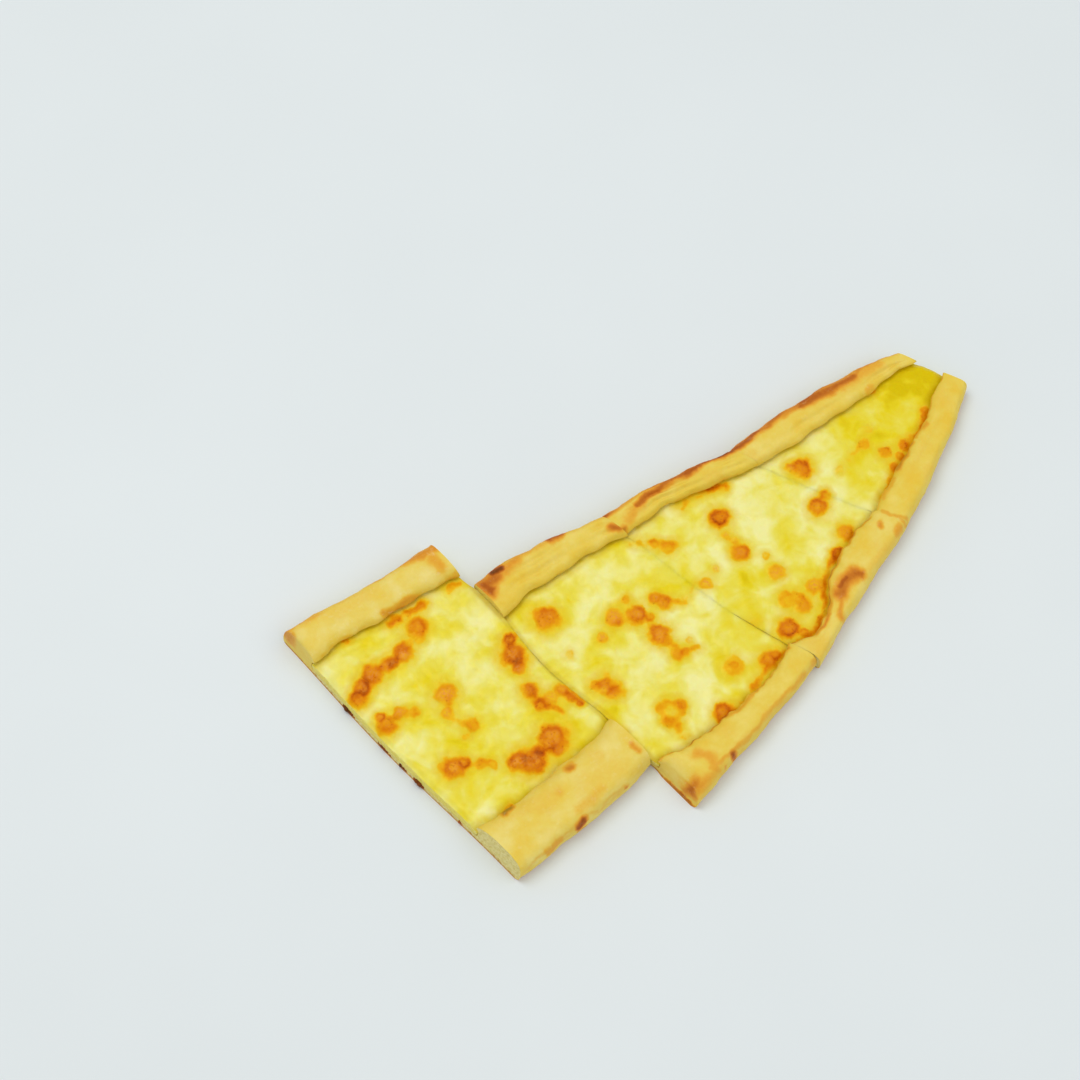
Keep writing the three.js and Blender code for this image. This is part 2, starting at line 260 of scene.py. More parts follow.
def sections(piece, count):
    """Near and far outline points of every station, and its share of the way to the wide cut."""
    narrow, wide = piece["narrow"], piece["wide"]
    trim = KNIFE_GAP / 2 / slice_length(piece)
    t = np.linspace(trim, 1 - trim, count)[:, None]
    near = cut_end(narrow, 1) * (1 - t) + cut_end(wide, 1) * t
    far = cut_end(narrow, -1) * (1 - t) + cut_end(wide, -1) * t
    outward = (near - far) / np.linalg.norm(near - far, axis=1, keepdims=True)
    swell = 4 * t * (1 - t)
    near_out = piece["near"]["bow"] * swell + piece["near"].get("flare", 0.0) * t ** 3
    far_out = piece["far"]["bow"] * swell
    near = near + outward * (near_out + EDGE_WAVE * wave(near[:, :1], 0.4))
    far = far - outward * (far_out + EDGE_WAVE * wave(far[:, :1], 2.1))
    near, far = near + slide_offset(piece), far + slide_offset(piece)
    return dict(t=t[:, 0], near=near, far=far, length=np.linalg.norm(near - far, axis=1))


def rim_sizes(piece, side, stations):
    """Width and height of one rim at every station."""
    rim = piece[side]
    foot = stations[side][:, 0]
    t = stations["t"]
    phase = RIM_PHASE[side]
    ragged = rim["crisp"] * TATTER * np.sin(foot * 1.05) * np.sin(foot * 0.37 + 1.0)
    swing = rim.get("sway", 0.0) * np.sin(2 * math.pi * t)
    for at, half, amount in rim.get("lobes", ()):
        swing = swing + amount * np.exp(-((t - at) / half) ** 2)
    width = through(rim["width"], t) + swing + LIP_WAVE * wave(1.7 * foot, phase) + ragged
    height = through(rim["height"], t) + CREST_WAVE * wave(foot, phase + 1.3)
    for drop, from_cut in zip(rim.get("rounded", (0.0, 0.0)), (t, 1 - t)):
        last = np.clip(1 - from_cut * slice_length(piece) / END_ROUND, 0, 1)
        height = height - drop * (1 - np.sqrt(1 - NEARLY_PLUMB * last ** 2))
    return width, height


def from_cuts(piece, t):
    """Distance in from the nearer cut, in millimetres."""
    return np.minimum(t, 1 - t) * slice_length(piece)


def off_the_cuts(piece, t):
    """0 at both cuts and 1 from a millimetre in, so that roughening leaves the gaps alone."""
    return ease(from_cuts(piece, t), 0.1, 1.1)


def plan_places(piece, stations, rows, across, height):
    """Plan points at distances across the given stations, with the bow and slant of the cuts."""
    near, far = stations["near"][rows][:, None], stations["far"][rows][:, None]
    t = stations["t"][rows][:, None]
    share = (across / stations["length"][rows][:, None])[..., None]
    plan = near * (1 - share) + far * share
    unslid = plan - slide_offset(piece)
    by_narrow = bow_of(piece["narrow"], unslid) * (1 - t) ** BOW_FADE
    by_slant = piece.get("slant", 0.0) * t ** SLANT_FADE * (1 - height / LIP_TOP)
    above = np.clip(height / END_LEVEL - 1, 0, None)
    bulge = np.where(above > 0, -END_STEEP * above ** LEAN_CURVE, 1 - height / END_LEVEL)
    slope = piece.get("end_foot", 0.0) * t ** SLOPE_FADE * bulge
    bared = ease(share_along(piece["wide"], unslid), BARED_TO, BARED_FULL)
    by_slant = by_slant + slope * bared
    by_wide = bow_of(piece["wide"], unslid) * t ** BOW_FADE + by_slant
    return (plan + by_narrow[..., None] * square_to(piece["narrow"])
            + by_wide[..., None] * square_to(piece["wide"]))


print("stations of slice_4 span mm", sections(SLICES[3], 5)["length"].round(1))

# %% [markdown]
# ## Noise for hand-made surfaces
# Bread and melted cheese have no straight lines, so nearly every step below asks for a little
# soft noise. One helper gives it for any list of points, at a size in millimetres and with a
# seed, so that the same pide comes out each time.

# %% Noise helpers


def soft_noise(points, size, seed):
    """Smooth noise between about -1 and 1 at each point; size is in the unit of the points."""
    shift = Vector((seed * 13.7, seed * 7.3, seed * 3.1))
    return np.array([noise.noise(Vector(p) / size + shift) for p in points.tolist()])


def flat(points, z=0.0):
    """Plan points with a height, for the noise helper."""
    return np.column_stack([points, np.full(len(points), z)])


def wander(plan, size, amount, seed, level=0.0):
    """Small sideways shifts that turn circles into natural blotches."""
    spread = flat(plan, level)
    return amount * np.column_stack([soft_noise(spread, size, seed),
                                     soft_noise(spread, size, seed + 5)])


print("noise sample", soft_noise(np.zeros((1, 3)) + 0.3, 1.0, 1).round(3))

# %% [markdown]
# ## Browned bubbles in the cheese
# Where steam lifts the cheese it browns first, in round blisters from 4 to 12 mm across. Each
# row places one: where it is, its radius, how dark it went and how pink its puffed middle is, a
# pink that also paints its highlight; a middle below zero stayed pale. They are listed one by one
# rather than scattered, because the oven's hot spots group them into chains and rings.

# %% Blisters of each slice
BLISTERS = {
    "slice_1": [
        # The pale pink middle at (65, 40) is a painted highlight.
        (69, 37.5, 5, 0.85, 0.2), (65, 40, 3, 0.25, 0.6), (97, 37, 2.5, 0.35, 0),
        (102.5, 29.5, 3.4, 0.7, 0), (111.5, 29, 3, 0.6, 0), (107.5, 25.5, 2.4, 0.6, 0),
        (103.5, 22.5, 2.6, 0.6, 0), (126.5, 40, 2.5, 0.75, 0), (125, 36.5, 2.2, 0.6, 0),
        (111.5, 57, 2.2, 0.5, 0), (101.5, 41.5, 2.4, 0.2, 0), (82.5, 30.5, 2.4, 0.2, 0),
    ],
    "slice_2": [
        (29.5, 32, 4.8, 0.95, 0.15), (30, 15.5, 4.2, 0.85, 0.4), (39.5, 1.5, 4, 0.5, 0.5),
        (38.5, 10, 2.2, 0.3, 0), (67, 19.5, 4.6, 0.72, 0.3), (72.5, 23, 2.6, 0.5, 0),
        (72, 5.5, 4.1, 0.72, 0.3), (65, -1.5, 3.6, 0.85, 0), (50, -9.5, 4.4, 0.42, 0.8),
        (42, -15, 4.3, 0.68, 0.3), (37.5, -10.5, 4, 0.4, 0), (32.5, -21.5, 5, 0.9, 0.3),
        (37.5, -25.5, 2.2, 0.65, 0), (22.5, -13.5, 3, 0.22, 0), (5, 29.5, 3.4, 0.35, 0),
        (1, 33, 2.6, 0.4, 0), (30.5, 21, 2.2, 0.25, 0.4), (28.5, 24.5, 2, 0.2, 0.5),
        (12, 9, 3.4, 0.35, 0.9), (18, 13, 2.2, 0.2, 0.6),
    ],
    "slice_3": [
        (-51.5, 22, 5.8, 0.95, 0.35), (-27, 11.5, 4.3, 0.6, 0.9), (-18.5, 9, 4.4, 0.75, 0.6),
        (-14, -2.5, 5.1, 0.82, 0.5), (-11.5, -12.5, 3.4, 0.6, 0.2), (-8, -13, 2.2, 0.4, 0),
        (-9, 12, 3, 0.55, 0.6), (-6.5, 9, 3.2, 0.65, 0.3), (-19.5, 16, 2.4, 0.4, 0),
        (-35, 6, 3, 0.35, 0.7), (-43, -13.5, 4.4, 0.42, 0.4), (-41, -17, 3.2, 0.5, 0.3),
        (-38, -14, 2.6, 0.35, 0), (-46, -11, 2.6, 0.35, 0), (-24, -33, 5, 0.42, -0.6),
        (-19.5, -32, 2.6, 0.55, 0), (-27.5, -36, 2.6, 0.3, 0), (6, -26.5, 5, 0.36, -0.4),
        (6, -26.5, 2.2, 0.5, 0), (19.5, -30, 4.4, 0.87, 0.2), (23, -29, 2.6, 0.75, 0),
        (-6, -42, 4.4, 0.82, 0.3), (-2.5, -42, 2.4, 0.5, 0), (-49.5, 5, 2.4, 0.25, 0),
        (-4.5, -9.5, 2, 0.2, 0.4), (-14.5, 5.5, 2.4, 0.5, 0),
    ],
    "slice_4": [
        (-99, 40, 4.9, 0.86, 0.2), (-108, 32.5, 4.8, 0.6, 0.95), (-113.5, 31, 3.2, 0.72, 0.3),
        (-116.5, 30.5, 3.4, 0.66, 0.6), (-122.5, 29.5, 5, 0.76, 0.7),
        (-128.5, 26.5, 4, 0.85, 0.5), (-131.5, 22.5, 4.2, 1, 0), (-125.5, 8, 4.6, 0.85, 0.2),
        (-127, 12, 2.6, 0.7, 0.3), (-119, 10.5, 3.4, 0.5, 0.95), (-114, 8.5, 2.6, 0.36, 0),
        (-100, 10, 5.4, 0.55, 0.95), (-102.5, 3, 3, 0.3, 0.6), (-96, -5.5, 3.4, 0.5, 0.1),
        (-100, -9, 2.2, 0.3, 0), (-69.5, 14, 5.8, 0.95, 0.6), (-68.5, 20, 3.4, 0.8, 0.2),
        (-69.5, 8, 3.2, 0.6, 0.7), (-70, -2, 4.2, 0.85, 0.2), (-68.5, -9, 3.4, 0.75, 0),
        (-64, -8, 3.6, 0.35, 0.5), (-58.5, -7, 3.4, 0.6, 0.5), (-56, -11.5, 2.4, 0.6, 0),
        (-54.5, -15, 1.8, 0.6, 0), (-70.2, -23.4, 6.2, 0.9, 0.5), (-70, -28.5, 3.4, 0.75, 0.4),
        (-80.8, -28.7, 6.1, 0.86, 0.5), (-86, -26.4, 4.9, 0.7, 0.7), (-77, -26, 3, 0.85, 0),
        (-69, -36.5, 2.8, 0.85, 0), (-109.5, -18.3, 5.1, 0.76, 0.5), (-105, -18, 3.2, 0.8, 0),
        (-113.5, -16, 2.4, 0.36, 0), (-99, -21.5, 3, 0.45, 0), (-95.5, -23.5, 2.2, 0.35, 0),
        (-126, 47, 1.9, 0.45, -0.5), (-100, 35, 2.4, 0.3, 0),
    ],
}
print("blisters", {name: len(rows) for name, rows in BLISTERS.items()})

# %% [markdown]
# ## Browned threads
# Between the blisters and under the lips the cheese browned in bands. A row holds a band's half
# width, how dark it went and the points that it passes through.

# %% Threads of each slice
THREADS = {
    "slice_1": [
        (1.7, 0.65, [(124, 35), (117, 31), (112, 29)]), (1.8, 0.45, [(71, 39), (65, 41)]),
        (1.6, 0.45, [(104, 23), (98, 17), (93, 12.5)]), (1.6, 0.25, [(97, 37), (88, 33)]),
    ],
    "slice_2": [
        (2.0, 0.85, [(29, 46), (37.5, 43.5)]), (2.2, 0.4, [(18, 43), (24, 45), (30, 46)]),
        (2.0, 0.42, [(-6, 37), (1, 33.5), (8, 29.5)]), (1.7, 0.5, [(67, 21), (72.5, 24)]),
        (1.6, 0.75, [(63.5, -1.5), (58, -5.5), (54.5, -10), (51.5, -15.5)]),
        (1.6, 0.7, [(50.5, -18), (48, -22.5), (43, -26.5), (35, -28.5)]),
        (1.6, 0.35, [(44, -12), (39, -8)]),
        (1.4, 0.2, [(29, 22), (27, 25)]),
    ],
    "slice_3": [
        (1.5, 0.3, [(-22, 16), (-18.5, 17)]), (1.8, 0.5, [(-27, 9), (-16, 4.5)]),
        (1.7, 0.45, [(-9, 12), (-4, 8), (1, 6)]), (1.4, 0.2, [(5, 8), (8, 10.5)]),
        (1.7, 0.45, [(-13, -6), (-10, -13), (-3, -14)]),
        (2.0, 0.4, [(-47, -10), (-42, -13.5), (-38.5, -18)]), (2.4, 0.25, [(-40, -9), (-41, -14)]),
        (1.4, 0.4, [(-28.5, -30), (-24, -28), (-20, -30.5), (-19.5, -35), (-23, -38), (-28, -36)]),
        (1.8, 0.4, [(-25, -38), (-23.5, -43.5)]), (1.5, 0.62, [(27, -29.5), (16, -33), (9, -38)]),
        (1.6, 0.5, [(3, -41.5), (-6, -44)]), (1.6, 0.35, [(-50, -21), (-47, -29), (-44, -33)]),
    ],
    "slice_4": [
        (2.2, 0.8, [(-108, 46.5), (-99.5, 47.5), (-93, 48)]), (1.6, 0.5, [(-81, 50), (-76, 50)]),
        (1.3, 0.7, [(-127.5, 46.8), (-125.5, 46.8)]), (2.2, 0.6, [(-105, 35), (-113, 31.5)]),
        (2.0, 0.6, [(-113, 31), (-122, 29.5), (-131, 24)]), (1.6, 0.45, [(-122, 10), (-114, 8)]),
        (1.7, 0.6, [(-69, 22), (-69.5, 8)]), (1.6, 0.6, [(-70, 0), (-68, -8), (-62, -15)]),
        (1.5, 0.85, [(-57, -9.5), (-54, -15)]), (1.6, 0.4, [(-61, -6), (-57, -12)]),
        (2.0, 0.7, [(-72, -26), (-81, -28), (-87, -25)]), (1.5, 0.35, [(-108, -18), (-96, -22)]),
        (1.6, 0.3, [(-100, 8), (-102, 1), (-97, -5)]), (1.8, 0.3, [(-66, -24), (-62, -22)]),
        (1.5, 0.9, [(-98.5, -42.3), (-96, -41.3)]),
    ],
}
print("threads", {name: len(rows) for name, rows in THREADS.items()})

# %% [markdown]
# ## Marks the oven left on the crust
# Rims stand higher than the filling, so their crests catch the heat. A row gives the half width
# of a toasted mark, how far it went, from golden at 0.3 to burnt at 1, and the points that it
# passes through. A round patch has one point.

# %% Toasted marks of the crust
CRUST_MARKS = {
    "slice_1": [
        (2.4, 0.55, [(117, 68), (110, 66.5), (105, 65)]), (3.8, 0.4, [(118, 66), (99, 62.5)]),
        (3.0, 0.74, [(106, 65), (98, 63.8), (90, 62.5)]), (3.0, 0.76, [(90, 62.5), (81, 62)]),
        (2.4, 0.55, [(81, 62), (75, 61.5), (70, 61)]), (2.0, 0.64, [(68, 60.5), (60, 58.5)]),
        (2.0, 0.8, [(60, 58.5), (53, 56.5), (46, 55.5)]), (1.5, 0.7, [(127, 40), (125, 36.5)]),
        (1.4, 0.5, [(123, 34), (117, 30.5)]), (1.6, 0.75, [(113.5, 29), (107, 24), (103.5, 21)]),
        (1.3, 0.45, [(100, 18.5), (92, 11)]), (1.8, 0.4, [(111, 56.5), (108, 55.5)]),
        # The thin line from (88.5, 6) to (96.5, -1) runs along the cut to slice 2: brown, and
        # painted shade for the step there.
        (0.9, 0.4, [(88.5, 6), (92.5, 2), (96.5, -1)]), (4.0, 0.16, [(108, 18), (118, 25)]),
    ],
    "slice_2": [
        (3.6, 0.7, [(56.5, -18.5), (59, -15.5), (62, -13.5), (66, -13)]),
        (2.6, 0.74, [(66, -13), (68.5, -14.5)]), (1.8, 0.8, [(58, -15), (62, -12.8)]),
        (1.9, 0.5, [(56, -20), (54.5, -23.5), (52.5, -27)]), (1.6, 0.52, [(85.4, 2), (84.8, 0.8)]),
        # The thin line from (88, 5.5) to (95.5, -2) runs along the cut to slice 1: brown, and
        # painted shade for the step there.
        (2.4, 0.45, [(89.5, -4.5), (92, -3)]), (0.9, 0.4, [(88, 5.5), (92, 1.5), (95.5, -2)]),
        (1.3, 0.7, [(67, 0), (60, -6), (55.5, -10), (53, -15)]),
        (1.2, 0.6, [(52, -17), (49, -24), (45, -27.5), (41, -28.8)]),
        (2.2, 0.86, [(47, 55.8), (38, 55)]), (1.8, 1.0, [(43, 56), (39.5, 55.5)]),
        (2.0, 0.8, [(38, 55.2), (32, 54.8), (24, 54)]),
        (1.9, 0.72, [(24, 54), (12, 52.4), (1, 50)]),
        (3.0, 0.4, [(4, 51), (-5, 45)]), (2.0, 0.8, [(-8, 42.5)]),
    ],
    "slice_3": [
        (2.4, 0.95, [(-63, 48), (-59.5, 48)]), (4.4, 0.72, [(-67.5, 43), (-63, 46)]),
        (3.0, 0.8, [(-68, 43.5), (-66.5, 40)]), (3.2, 0.5, [(-58, 46.5), (-52, 49)]),
        (2.4, 0.8, [(-37, 51), (-32, 51.5)]), (2.6, 0.4, [(-44, 51), (-50, 50.5)]),
        (2.2, 0.7, [(-12, 45.5), (-9.5, 43)]),
        (2.9, 0.42, [(-24, -53.5), (-20, -55.5), (-19, -59), (-19.5, -62)]),
        (3.5, 0.62, [(-31.5, -64.6), (-29.6, -63.4)]), (5.0, 0.3, [(-30.5, -64)]),
        (2.0, 0.85, [(-10.5, -59.5)]), (1.1, 0.5, [(-15, -62.5)]),
        (1.4, 0.65, [(28, -29), (20, -31.5), (14, -34.5), (9, -39)]),
        (1.3, 0.5, [(9, -39), (2, -42.5), (-6, -44.5)]), (1.3, 0.4, [(-21, -61.5), (-6.5, -57.5)]),
        (1.2, 0.35, [(-6.5, -57.5), (16, -47), (36, -38)]),
    ],
    "slice_4": [
        (3.4, 0.55, [(-146, 60.5), (-139, 62)]), (3.2, 0.6, [(-147, 61), (-146, 57)]),
        (7.0, 0.3, [(-147, 60)]),
        (3.0, 0.35, [(-139, 62), (-122, 64)]), (2.4, 0.42, [(-109, 65), (-94, 66)]),
        (2.8, 0.55, [(-94, 66), (-80, 66)]), (3.4, 0.42, [(-82.5, 63), (-81, 58)]),
        (1.8, 0.6, [(-109, 50), (-99, 50.5), (-91, 50.5)]), (1.6, 0.4, [(-80, 53), (-76, 53)]),
        (2.0, 0.96, [(-99.5, -43.2), (-97, -42.6)]), (3.0, 0.25, [(-98.5, -43.5)]),
        (3.4, 0.32, [(-78.5, -45.5)]), (1.3, 0.5, [(-45, -40), (-43, -43)]),
        (1.25, 0.86, [(-73.2, -58.7), (-77, -60.9)]), (1.3, 0.42, [(-84, -62), (-92, -63.6)]),
        (1.0, 0.6, [(-53, -54)]), (0.8, 0.25, [(-110, -69), (-90, -63), (-52, -53)]),
        (2.2, 0.68, [(-71.2, -38.5), (-69.4, -38.3)]), (3.0, 0.28, [(-73, -55.5), (-62, -50.5)]),
        (8.0, 0.18, [(-67, -47), (-54, -46)]),
    ],
}
MARK_REACH, MARK_FALL = 1.05, 2.2
print("crust marks", {name: len(rows) for name, rows in CRUST_MARKS.items()})


def reach_of(plan, path):
    """Distance of each plan point from a path of one or more points."""
    path = np.array(path, float)
    best = np.linalg.norm(plan - path[0], axis=1)
    for start, end in zip(path[:-1], path[1:]):
        step = end - start
        share = np.clip(((plan - start) @ step) / (step @ step), 0, 1)
        best = np.minimum(best, np.linalg.norm(plan - start - share[:, None] * step, axis=1))
    return best


def mark_strength(plan, rows, warp):
    """How strongly the marks of a list reach each plan point."""
    strength = np.zeros(len(plan))
    for radius, amount, path in rows:
        reach = reach_of(plan + warp, path) / radius
        strength = np.maximum(strength, amount * np.exp(-(reach / MARK_REACH) ** MARK_FALL))
    return strength


# %% [markdown]
# ## A mesh swept from cut to cut
# Both the dough and the cheese are closed bodies: a skin of rings and a cut face at each end.
# The skin is a grid of quads. A cut face needs points inside too, or its crumb could have no
# relief, so a constrained triangulation fills the outline with a grid of points, each moved a
# little at random so that no rows show.

# %% Cut faces
JITTER = 0.25
EDGE_ROOM = 0.35
INSIDE_ONLY = 1
WELD = 1e-7


def inside(points, outline, margin):
    """True for points within an outline and at least margin from its edge."""
    odd = np.zeros(len(points), bool)
    clear = np.full(len(points), np.inf)
    for (ax, ay), (bx, by) in zip(outline, np.roll(outline, -1, axis=0)):
        crosses = (ay > points[:, 1]) != (by > points[:, 1])
        with np.errstate(divide="ignore", invalid="ignore"):
            at = (bx - ax) * (points[:, 1] - ay) / (by - ay) + ax
        odd ^= crosses & (points[:, 0] < at)
        edge = np.array([bx - ax, by - ay])
        share = ((points - (ax, ay)) @ edge) / max(edge @ edge, 1e-12)
        nearest = np.array([ax, ay]) + np.clip(share, 0, 1)[:, None] * edge
        clear = np.minimum(clear, np.linalg.norm(points - nearest, axis=1))
    return odd & (clear > margin)


def fill_face(outline, spacing, seed):
    """Points inside a closed flat outline and the triangles that fill it, all anticlockwise."""
    low, high = outline.min(axis=0), outline.max(axis=0)
    across = np.arange(low[0] + spacing, high[0], spacing)
    up = np.arange(low[1] + spacing, high[1], spacing)
    grid = np.array(np.meshgrid(across, up)).reshape(2, -1).T
    grid = grid + np.random.default_rng(seed).uniform(-JITTER, JITTER, grid.shape) * spacing
    grid = grid[inside(grid, outline, EDGE_ROOM * spacing)]
    count = len(outline)
    corners = [Vector(p) for p in np.vstack([outline, grid]).tolist()]
    edges = [(i, (i + 1) % count) for i in range(count)]
    points, _, faces, origins, _, _ = delaunay_2d_cdt(corners, edges, [], INSIDE_ONLY, WELD)
    place = [origin[0] if origin else -1 for origin in origins]
    triangles = []
    for face in faces:
        a, b, c = (points[i] for i in face)
        turn = (b - a).cross(c - a)
        names = [place[i] for i in face]
        triangles.append(names if turn > 0 else names[::-1])
    return grid, triangles


square = np.array([[0.0, 0], [4, 0], [4, 4], [0, 4]])
print("a 4 mm square fills with", len(fill_face(square, 1.0, 1)[1]), "triangles")

# %% [markdown]
# ## Faces that lean together again
# Hot cheese runs together behind the knife, and soft dough closes up to a fine line. Each cut
# face creeps towards its neighbour by a little less than half of the gap, and the cheese goes
# on to a hair between the two shares along the cut that `RUN_TOGETHER` gives. Slice 4 has slid
# back and leans on slice 3, so there the gap is first worked out from the bows of both faces.
# Moving only the faces keeps every slice its own body, and none of them ever touch.

# %% Creeping faces
RUN_TOGETHER = {
    ("slice_1", 2): (0.16, 0.84), ("slice_2", 1): (0.16, 0.84),
    ("slice_2", 2): (0.34, 0.93), ("slice_3", 1): (0.34, 0.93),
}
UPPER_FACES = (("slice_1", 2), ("slice_2", 1))
LEANING_FACES = (("slice_3", 2), ("slice_4", 1))
NOWHERE = (2.0, 3.0)
RUN_FADE = 0.05
FINE_LINE = 0.06
FINEST_LINE = 0.04
HAIR_LINE = 0.01
CHEESE_CREEP = 0.8


def merged_cut(piece, end, plan):
    """How far the cheese has run together over a cut again, 0 open to 1 closed."""
    low, high = RUN_TOGETHER.get((piece["name"], end), NOWHERE)
    share = share_along(piece["narrow"] if end == 1 else piece["wide"], plan)
    return (ease(share, low - RUN_FADE, low + RUN_FADE)
            * ease(share, high + RUN_FADE, high - RUN_FADE))


def lean(plan):
    """Half of the gap between slices 3 and 4 beyond a fine line, where they face each other."""
    slid = slide_offset(SLICES[3])
    gap = SLID_APART + KNIFE_GAP + bow_of(TORN_CUT, plan - slid) - bow_of(LOWER_CUT, plan)
    share = share_along(LOWER_CUT, plan)
    facing = ease(share, 0.16, 0.22) * ease(share, 1.03, 0.97)
    return facing * np.clip(gap - FINE_LINE, 0, None) / 2


def creep(piece, end, plan, cheese):
    """How far a cut face stands nearer its neighbour than the knife left it, in millimetres."""
    face = (piece["name"], end)
    if face in LEANING_FACES:
        return lean(plan)
    if face not in RUN_TOGETHER:
        return np.zeros(plan.shape[:-1])
    line = (KNIFE_GAP - (FINEST_LINE if face in UPPER_FACES and not cheese else FINE_LINE)) / 2
    merged = (KNIFE_GAP / 2 - HAIR_LINE / 2) * merged_cut(piece, end, plan)
    return np.maximum(merged, CHEESE_CREEP * line) if cheese else np.full(plan.shape[:-1], line)


print("slices 3 and 4 lean together by mm",
      lean(np.array([[LOWER_CUT["x"], LOWER_CUT["y"]]])).round(2))

# %% Swept body


def sweep(piece, kind, stations, across, height, face_spacing, seed):
    """Closed mesh through rings given as distance across and height, one row per station.
    Returns the mesh and, for each vertex, which cut face it lies in (0 none, 1 or 2)."""
    rows, size = across.shape
    outward = {1: -square_to(piece["narrow"]), 2: square_to(piece["wide"])}
    plan = plan_places(piece, stations, slice(None), across, height)
    for end, row in ((1, 0), (2, rows - 1)):
        nearer = creep(piece, end, plan[row], kind == "melted_cheese")
        plan[row] += nearer[:, None] * outward[end]
    points = [np.concatenate([plan, height[..., None]], axis=2).reshape(-1, 3)]
    i = np.arange(size)
    quads = []
    for row in range(rows - 1):
        a = row * size + i
        b = row * size + (i + 1) % size
        quads.append(np.column_stack([a, a + size, b + size, b]))
    faces = np.concatenate(quads).tolist()
    face_of = [np.zeros(rows * size, int)]
    total = rows * size
    for end, row in ((1, 0), (2, rows - 1)):
        outline = np.column_stack([across[row], height[row]])
        grid, triangles = fill_face(outline, face_spacing, seed + end)
        place = plan_places(piece, stations, slice(row, row + 1), grid[None, :, 0],
                            grid[None, :, 1])[0]
        nearer = creep(piece, end, place, kind == "melted_cheese")
        place += nearer[:, None] * outward[end]
        points.append(np.column_stack([place, grid[:, 1]]))
        face_of.append(np.full(len(grid), end))
        for triangle in triangles:
            named = [row * size + k if k < size else total + k - size for k in triangle]
            faces.append(named if end == 1 else named[::-1])
        total += len(grid)
    mesh = bpy.data.meshes.new(piece["name"] + "_" + kind)
    mesh.from_pydata((np.concatenate(points) * MM).tolist(), [], faces)
    mesh.update()
    return mesh, np.concatenate(face_of)


def places(mesh):
    """Vertex places of a mesh in millimetres."""
    found = np.empty(len(mesh.vertices) * 3)
    mesh.vertices.foreach_get("co", found)
    return found.reshape(-1, 3) / MM


def paint(mesh, name, values):
    """Keeps one number per vertex under a name that a material or a node tree can read."""
    layer = mesh.attributes.new(name, "FLOAT", "POINT")
    layer.data.foreach_set("value", np.asarray(values, dtype=np.float32))


print("helpers for swept meshes ready")


# %% [markdown]
# ## The shape of a folded rim
# From the table upwards: a rounded outer side, a crest, a slope towards the filling, then a lip
# that hangs a little over the cheese. The outside is given in shares of the rim's width and
# height, the slope in shares of the drop down to the lip, and the lip itself in millimetres in
# from the filling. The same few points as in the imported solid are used, but joined by a smooth
# curve, since dough has no corners.

# %% Rim curve
BASE_THICKNESS = 3.0
LIP_UNDER = 7.1
LIP_HANG = 1.2
WALL_FOOT = 0.6
RIM_OUTSIDE = [(0.11, 0.0), (0.03, 0.09), (0.0, 0.28), (0.01, 0.53),
               (0.05, 0.76), (0.14, 0.92), (0.28, 0.99), (0.45, 1.0)]
RIM_INSIDE = [(0.62, 0.06), (0.77, 0.2), (0.89, 0.44), (0.965, 0.76)]
RIM_LIP = [(0, LIP_TOP - 0.35), (0.35, LIP_UNDER + 0.1), (LIP_HANG, LIP_UNDER - 0.5),
           (LIP_HANG, BASE_THICKNESS + 0.8), (WALL_FOOT, BASE_THICKNESS)]
SPAN_STEPS = [5, 8, 8, 8, 10, 12, 12, 12, 12, 10, 6, 4, 2, 2, 3, 2]


def rim_points(width, height):
    """Guide points of a rim at every station: distance in from the outline, and height."""
    drop = height - LIP_TOP
    points = [(a * width, b * height) for a, b in RIM_OUTSIDE]
    points += [(a * width, height - b * drop) for a, b in RIM_INSIDE]
    level = np.ones_like(width)
    points += [(width - inset, rise * level) for inset, rise in RIM_LIP]
    return np.array(points).transpose(2, 0, 1)


def smooth_curve(points, steps):
    """Rounded curve through guide points, with a number of steps for each span."""
    padded = np.concatenate([points[:, :1], points, points[:, -1:]], axis=1)
    out = []
    for span, count in enumerate(steps):
        p0, p1, p2, p3 = (padded[:, span + k, :] for k in range(4))
        for t in np.arange(count) / count:
            out.append(0.5 * (2 * p1 + (p2 - p0) * t + (2 * p0 - 5 * p1 + 4 * p2 - p3) * t ** 2
                              + (3 * p1 - p0 - 3 * p2 + p3) * t ** 3))
    out.append(points[:, -1])
    return np.stack(out, axis=1)


print("points around one rim", sum(SPAN_STEPS) + 1)

# %% [markdown]
# ## Dough slices
# One closed ring per station: up and over the far rim, across the bed under the cheese, over the
# near rim and back along the table. Where the flap was folded down, grooves run along the rim;
# they come and go on the way and fade out at the cuts, where the neighbour's rim goes on.

# %% Dough rings
DOUGH_STATIONS = 150
BED_POINTS = 60
BOTTOM_POINTS = 90
CREASE_HALF = 0.09
CREASE_TURN = 0.16
CREASE_FADE = 6.0


